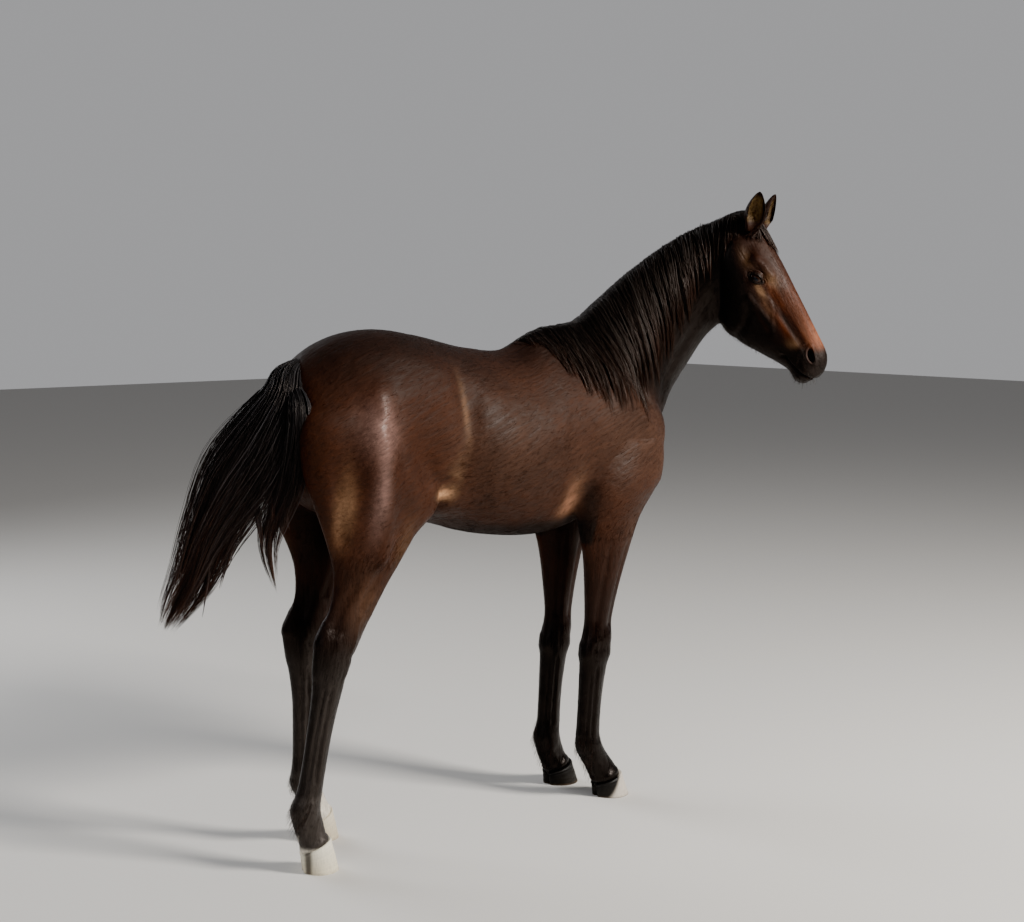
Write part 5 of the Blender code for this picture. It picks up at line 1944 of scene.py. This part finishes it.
@dataclass
class FineHair(LongHair):
    """Whiskers, the beard under the jaw, the hair in the ears, and the lashes."""

    width: float = 0.0003
    rows: int = 6
    seed: int = 14

    def curve(self, roots: Array, ways: Array, length: Array, bend: Array) -> Array:
        """Paths from roots that set out one way and bend another."""
        s = np.linspace(0, 1, self.rows)[None, :, None]
        return roots[:, None] + length[:, None, None] * (s * unit(ways)[:, None] + s**2 * bend)

    def grown(self, count: int, weights: Array, reach: tuple, way: tuple, bend: tuple,
              rng: Chance) -> Array:
        """Hairs that grow out of part of the skin.

        Args:
            count: how many.
            weights: how dense they are on each triangle of the skin.
            reach: the least and the greatest length.
            way: what is added to the normal for the way they set out.
            bend: the way they bend.
            rng: the source of chance.

        Returns:
            Their paths.
        """
        roots, normals, _patches = self.skin.sample(count, weights, rng)
        ways = 0.7 * normals + np.array(way) + 0.25 * rng.standard_normal((count, 3))
        return self.curve(roots, ways, rng.uniform(*reach, count), np.array(bend))

    def lashes(self, side: Side, rng: Chance) -> Array:
        """The lashes of one upper lid."""
        along, up, look = EYE.axes(side)
        a = rng.uniform(-0.75, 0.85, 46) * EYE.half_length
        b = EYE.upper * (1 - (a / EYE.half_length) ** 2) ** 0.52 + rng.uniform(0.0004, 0.0016, 46)
        c = np.sqrt((EYE.radius + EYE.lid) ** 2 - a**2 - b**2) - 0.0006
        roots = EYE.centre(side) + a[:, None] * along + b[:, None] * up + c[:, None] * look
        ways = look + 0.1 * up + (a / EYE.half_length)[:, None] * 0.4 * along
        ways = ways + 0.12 * rng.standard_normal((46, 3))
        return self.curve(roots, ways, rng.uniform(0.007, 0.012, 46), 0.35 * up - 0.1 * SKULL.out)

    def build(self) -> Item:
        """All the fine hair."""
        rng = np.random.default_rng(self.seed)
        middles = self.skin.middles
        u, v = SKULL.shares(middles).T
        head = POSE.head_share(middles) * (middles[:, 2] > 1)
        down = tuple(0.5 * SKULL.along - 0.5 * SKULL.out)
        muzzle = head * (u > 0.84) * (v < -0.13)
        jaw = head * (u > 0.12) * (v < np.interp(u, (0.1, 0.5, 0.95), (-0.36, -0.43, -0.22)))
        paths = [
            self.grown(60, muzzle, (0.008, 0.022), down, (0, 0, -0.2), rng),
            self.grown(700, jaw, (0.004, 0.01), down, (0, 0, -0.2), rng),
        ]
        heels = on_heels(middles) * (0.4 + (np.abs(middles[:, 1]) < 0.16))
        paths.append(self.grown(900, heels, (0.008, 0.024), (-0.5, 0, -2.6), (-0.1, 0, -0.3), rng))
        for side in Side:
            height, reach = EAR.shares(middles, side)
            axis, forward, _beside = EAR.axes(side)
            inner = (height > 0.12) * (height < 0.85) * (reach < 0.92)
            way = tuple(0.9 * axis + 0.5 * forward)
            paths.append(self.grown(420, inner * 1, (0.008, 0.016), way, (0, 0, 0.1), rng))
            paths.append(self.lashes(side, rng))
        return self.lay("fine_hair", np.concatenate(paths), rng, 0.8, "")


# ---------------- eyes and hooves
@dataclass
class EyeBall:
    """A wet eyeball with a bulging cornea, behind the lids."""

    side: Side
    bulge: float = 0.0011

    def build(self, material: Material) -> Item:
        """The eyeball in its place in the head."""
        name = "eye_" + self.side.name.lower()
        only()
        bpy.ops.mesh.primitive_uv_sphere_add(segments=48, ring_count=32, radius=1)
        item = bpy.context.object
        item.name = item.data.name = name + "_ball"
        points = vectors_of(item)
        write_attribute(item, "eye_place", points)
        reach = np.hypot(points[:, 0], points[:, 1])
        front = (points[:, 2] > 0) * fall(reach, 0.45, 0.8)
        local = points * EYE.radius
        local[:, 2] += self.bulge * front
        place(item, local @ EYE.axes(self.side) + EYE.centre(self.side))
        in_edit(item, partial(MESH.normals_make_consistent, inside=False))
        smooth(item)
        settle(item, rigid=True)
        dress(item, material, "eye", name)
        return item


@dataclass
class Hoof:
    """A hoof: a sloping wall with growth rings, heels, and a hollow sole."""

    leg: Leg
    sides: int = 64
    fore: tuple = rows_of(
        Ring, 1000,
        ("coronet", (526, 69), (430, 38), (40, 42, 38)),
        ("wall", (538, 36), (433, 19), (45, 48, 41)),
        ("ground", (550, 0), (436, 0), (50, 53, 45)),
    )
    hind: tuple = rows_of(
        Ring, 1000,
        ("coronet", (-399, 86), (-483, 49), (38, 40, 36)),
        ("wall", (-388, 44), (-480, 24), (42, 44, 38)),
        ("ground", (-378, 0), (-477, 0), (46, 48, 40)),
    )

    def build(self, material: Material, slot_name: str) -> Item:
        """Builds the hoof under its leg.

        Args:
            material: the horn's finish.
            slot_name: the slot's name, passed on to dress.

        Returns:
            The hoof.
        """
        is_fore = self.leg.rings is FORELEG
        rings = self.fore if is_fore else self.hind
        name = self.leg.name.replace("leg_", "_")
        item = Skin().loft("hoof_" + name + "_horn", rings, self.sides, 14, self.leg.across)
        points = vectors_of(item)
        front, back = np.array(rings[-1].first), np.array(rings[-1].second)
        top = rings[0]
        slope = (top.first[1] - top.second[1]) / (top.first[0] - top.second[0])
        edge = top.second[1] + (points[:, 0] - top.second[0]) * slope
        height = np.clip(points[:, 2] / np.maximum(edge, 0.03), 0, 1)
        middle = np.array((0.5 * (front[0] + back[0]), self.leg.across))
        offset = points[:, :2] - middle
        angle = np.arctan2(offset[:, 1], offset[:, 0])
        toe = np.clip((points[:, 0] - back[0]) / (front[0] - back[0]), 0, 1)
        wall = (height < 0.97) & (height > 0)
        out = unit(np.concatenate((offset, np.zeros((len(points), 1))), axis=1))
        ring = 0.0002 * np.sin(30 * height + 2 * np.sin(6 * height) + np.sin(2 * angle)) * wall
        cleft = -0.01 * bell(points[:, 1], self.leg.across, 0.009) * (toe < 0.12)
        roll = 0.0016 * bell(height, 0.93, 0.05)
        place(item, points + out * (ring + cleft + roll)[:, None])
        in_edit(
            item,
            partial(MESH.select_mode, type="FACE"),
            partial(MESH.inset, thickness=0.007),
            partial(bpy.ops.transform.translate, value=(0, 0, 0.006)),
            chosen=points[:, 2] < 1e-6,
        )
        count = len(item.data.vertices)
        places = np.zeros((count, 3))
        places[: len(points)] = np.stack((height, angle, toe), axis=1)
        write_attribute(item, "hoof_place", places)
        only(item)
        bpy.ops.object.shade_smooth_by_angle(angle=math.radians(40))
        settle(item)
        dress(item, material, slot_name, "hoof_" + name)
        return item


# ---------------- the studio
@dataclass
class Studio:
    """A pale floor, soft lights and the camera."""

    key: float = 950
    fill: float = 60
    rim: float = 260
    world: float = 0.18
    glow: float = 0.7
    # The way to the bright side of the sky, behind the horse.
    backdrop: tuple = (0.63, 0.777, 0)
    # The camera: its place, how many degrees it looks down and turns to the left, and its lens.
    camera: tuple = (-3.0052, -3.7081, 1.545)
    down: float = 6.01
    swing: float = -39.04
    lens: float = 59.77

    def light(self, name: str, spot: tuple, size: float, power: float, colour: tuple) -> None:
        """Hangs one soft light that faces the horse.

        Args:
            name: the light's name.
            spot: where it hangs.
            size: its side, in metres.
            power: its power, in watts.
            colour: its colour.
        """
        data = bpy.data.lights.new(name, "AREA")
        data.energy, data.size, data.color = power, size, colour
        item = bpy.data.objects.new(name, data)
        item.location = spot
        item.rotation_euler = (Vector((0, 0, 0.9)) - Vector(spot)).to_track_quat("-Z", "Y").to_euler()
        bpy.context.scene.collection.objects.link(item)

    def build(self) -> None:
        """Adds floor, lights, sky and camera."""
        only()
        bpy.ops.mesh.primitive_plane_add(size=40)
        floor = bpy.context.object
        floor.name = "studio_floor"
        sheet = Sheet("pale_floor")
        where = sheet.node("TexCoord").outputs["Object"]
        sheet.feed(sheet.shader, {
            "Base Color": (0.74, 0.72, 0.69, 1), "Roughness": 0.85,
            "Normal": sheet.bump(sheet.noise(where, 14, 3), 0.01, 0.05),
        })
        floor.data.materials.append(sheet.material)
        self.light("key_light", (2.5, -4.3, 3.9), 1.3, self.key, (1, 0.96, 0.9))
        self.light("fill_light", (-4.5, -2.5, 2.6), 3, self.fill, (0.88, 0.93, 1))
        self.light("back_light", (-1.5, 4.5, 3.6), 3, self.rim, (0.95, 0.97, 1))
        sky = Sheet("soft_sky", sky=True)
        ways = {0: sky.node("TexCoord").outputs["Generated"], 1: self.backdrop}
        toward = sky.node("VectorMath", ways, operation="DOT_PRODUCT").outputs["Value"]
        ends = {"From Min": 0, "From Max": 0.9, "To Min": self.world, "To Max": self.glow}
        glow = sky.node("MapRange", {"Value": toward, **ends}).outputs[0]
        sky.feed(sky.shader, {"Strength": glow, "Color": (0.92, 0.92, 0.94, 1)})
        bpy.context.scene.world = sky.material
        data = bpy.data.cameras.new("camera")
        data.lens, data.sensor_width = self.lens, 36
        data.clip_end = 100
        camera = bpy.data.objects.new("camera", data)
        camera.location = self.camera
        camera.rotation_euler = (math.radians(90 - self.down), 0, math.radians(self.swing))
        bpy.context.scene.collection.objects.link(camera)
        bpy.context.scene.camera = camera
        bpy.context.scene.view_settings.look = "AgX - Punchy"


def on_trunk(points: Array) -> Array:
    """How dense the tufts are on the trunk and neck."""
    head, z = POSE.head_share(points), points[:, 2]
    rough = bell(points[:, (0, 2)], (0.12, 0.98), (0.25, 0.14))
    return (z > 0.8) * (1 - head) * (0.5 + 1.2 * rough + fall(z, 0.84, 0.92))


def on_legs(points: Array) -> Array:
    """How dense the tufts are on the legs."""
    z = points[:, 2]
    return (z < 0.84) * (z > 0.062) * (1 + 4 * on_heels(points))


def on_head(points: Array) -> Array:
    """How dense the tufts are on the head, none of them on the eyelids' edges or in the nostrils."""
    share = POSE.head_share(points) * (points[:, 2] > 1)
    for side in Side:
        share = share * (np.linalg.norm(points - EYE.centre(side), axis=1) > 0.03)
    reach, _b = NOSTRIL.reach(SKULL.shares(points))
    return share * (reach > 1.3)


def main() -> None:
    """Builds and dresses the whole horse in the studio."""
    coat = CoatFinish("dark_bay_coat").build()
    hair = HairFinish("black_hair").build()
    body = Skin().build()
    skin = SkinMap(body)
    paint(body)
    settle(body)
    dress(body, coat, "coat", "trunk", "neck", "head", "ear_left", "ear_right",
          "foreleg_left", "foreleg_right", "hindleg_left", "hindleg_right")
    eye = EyeFinish().build()
    for side in Side:
        EyeBall(side).build(eye)
    grey, pale = ((0.007, 0.006, 0.0055), (0.014, 0.012, 0.01)), ((0.92, 0.86, 0.7), (0.84, 0.76, 0.58))
    horn = {
        "foreleg_left": HornFinish("dark_horn", (0.006, 0.005, 0.0045), (0.012, 0.01, 0.008)),
        "foreleg_right": HornFinish("grey_horn", *grey, toe=(0.62, 0.56, 0.48)),
        "hindleg_left": HornFinish("pale_horn_left", (0.76, 0.68, 0.53), (0.66, 0.57, 0.42)),
        "hindleg_right": HornFinish("pale_horn_right", *pale, stripe=-2.44),
    }
    for leg in LEGS:
        finish = horn[leg.name]
        Hoof(leg).build(finish.build(), "_".join(finish.name.split("_")[:2]))
    Mane(hair, skin, light=0.2, glint=ASH).build()
    Forelock(hair, skin).build()
    Tail(hair, skin, light=0.45, glint=SLATE, tip=DUN * 0.9, base=SLATE * 0.45).build()
    FineHair(hair, skin).build()
    Fur("trunk_tufts", 18500, "coat", 21, (0.016, 0.028), 0.0005, 0.0009, on_trunk).build(skin, coat)
    Fur("leg_tufts", 16000, "leg_coat", 22, (0.01, 0.016), 0.0004, 0.0007, on_legs).build(skin, coat)
    Fur("head_tufts", 17000, "head_coat", 23, (0.006, 0.011), 0.0003, 0.0005, on_head).build(skin, coat)
    Studio().build()


if __name__ == "__main__":
    main()
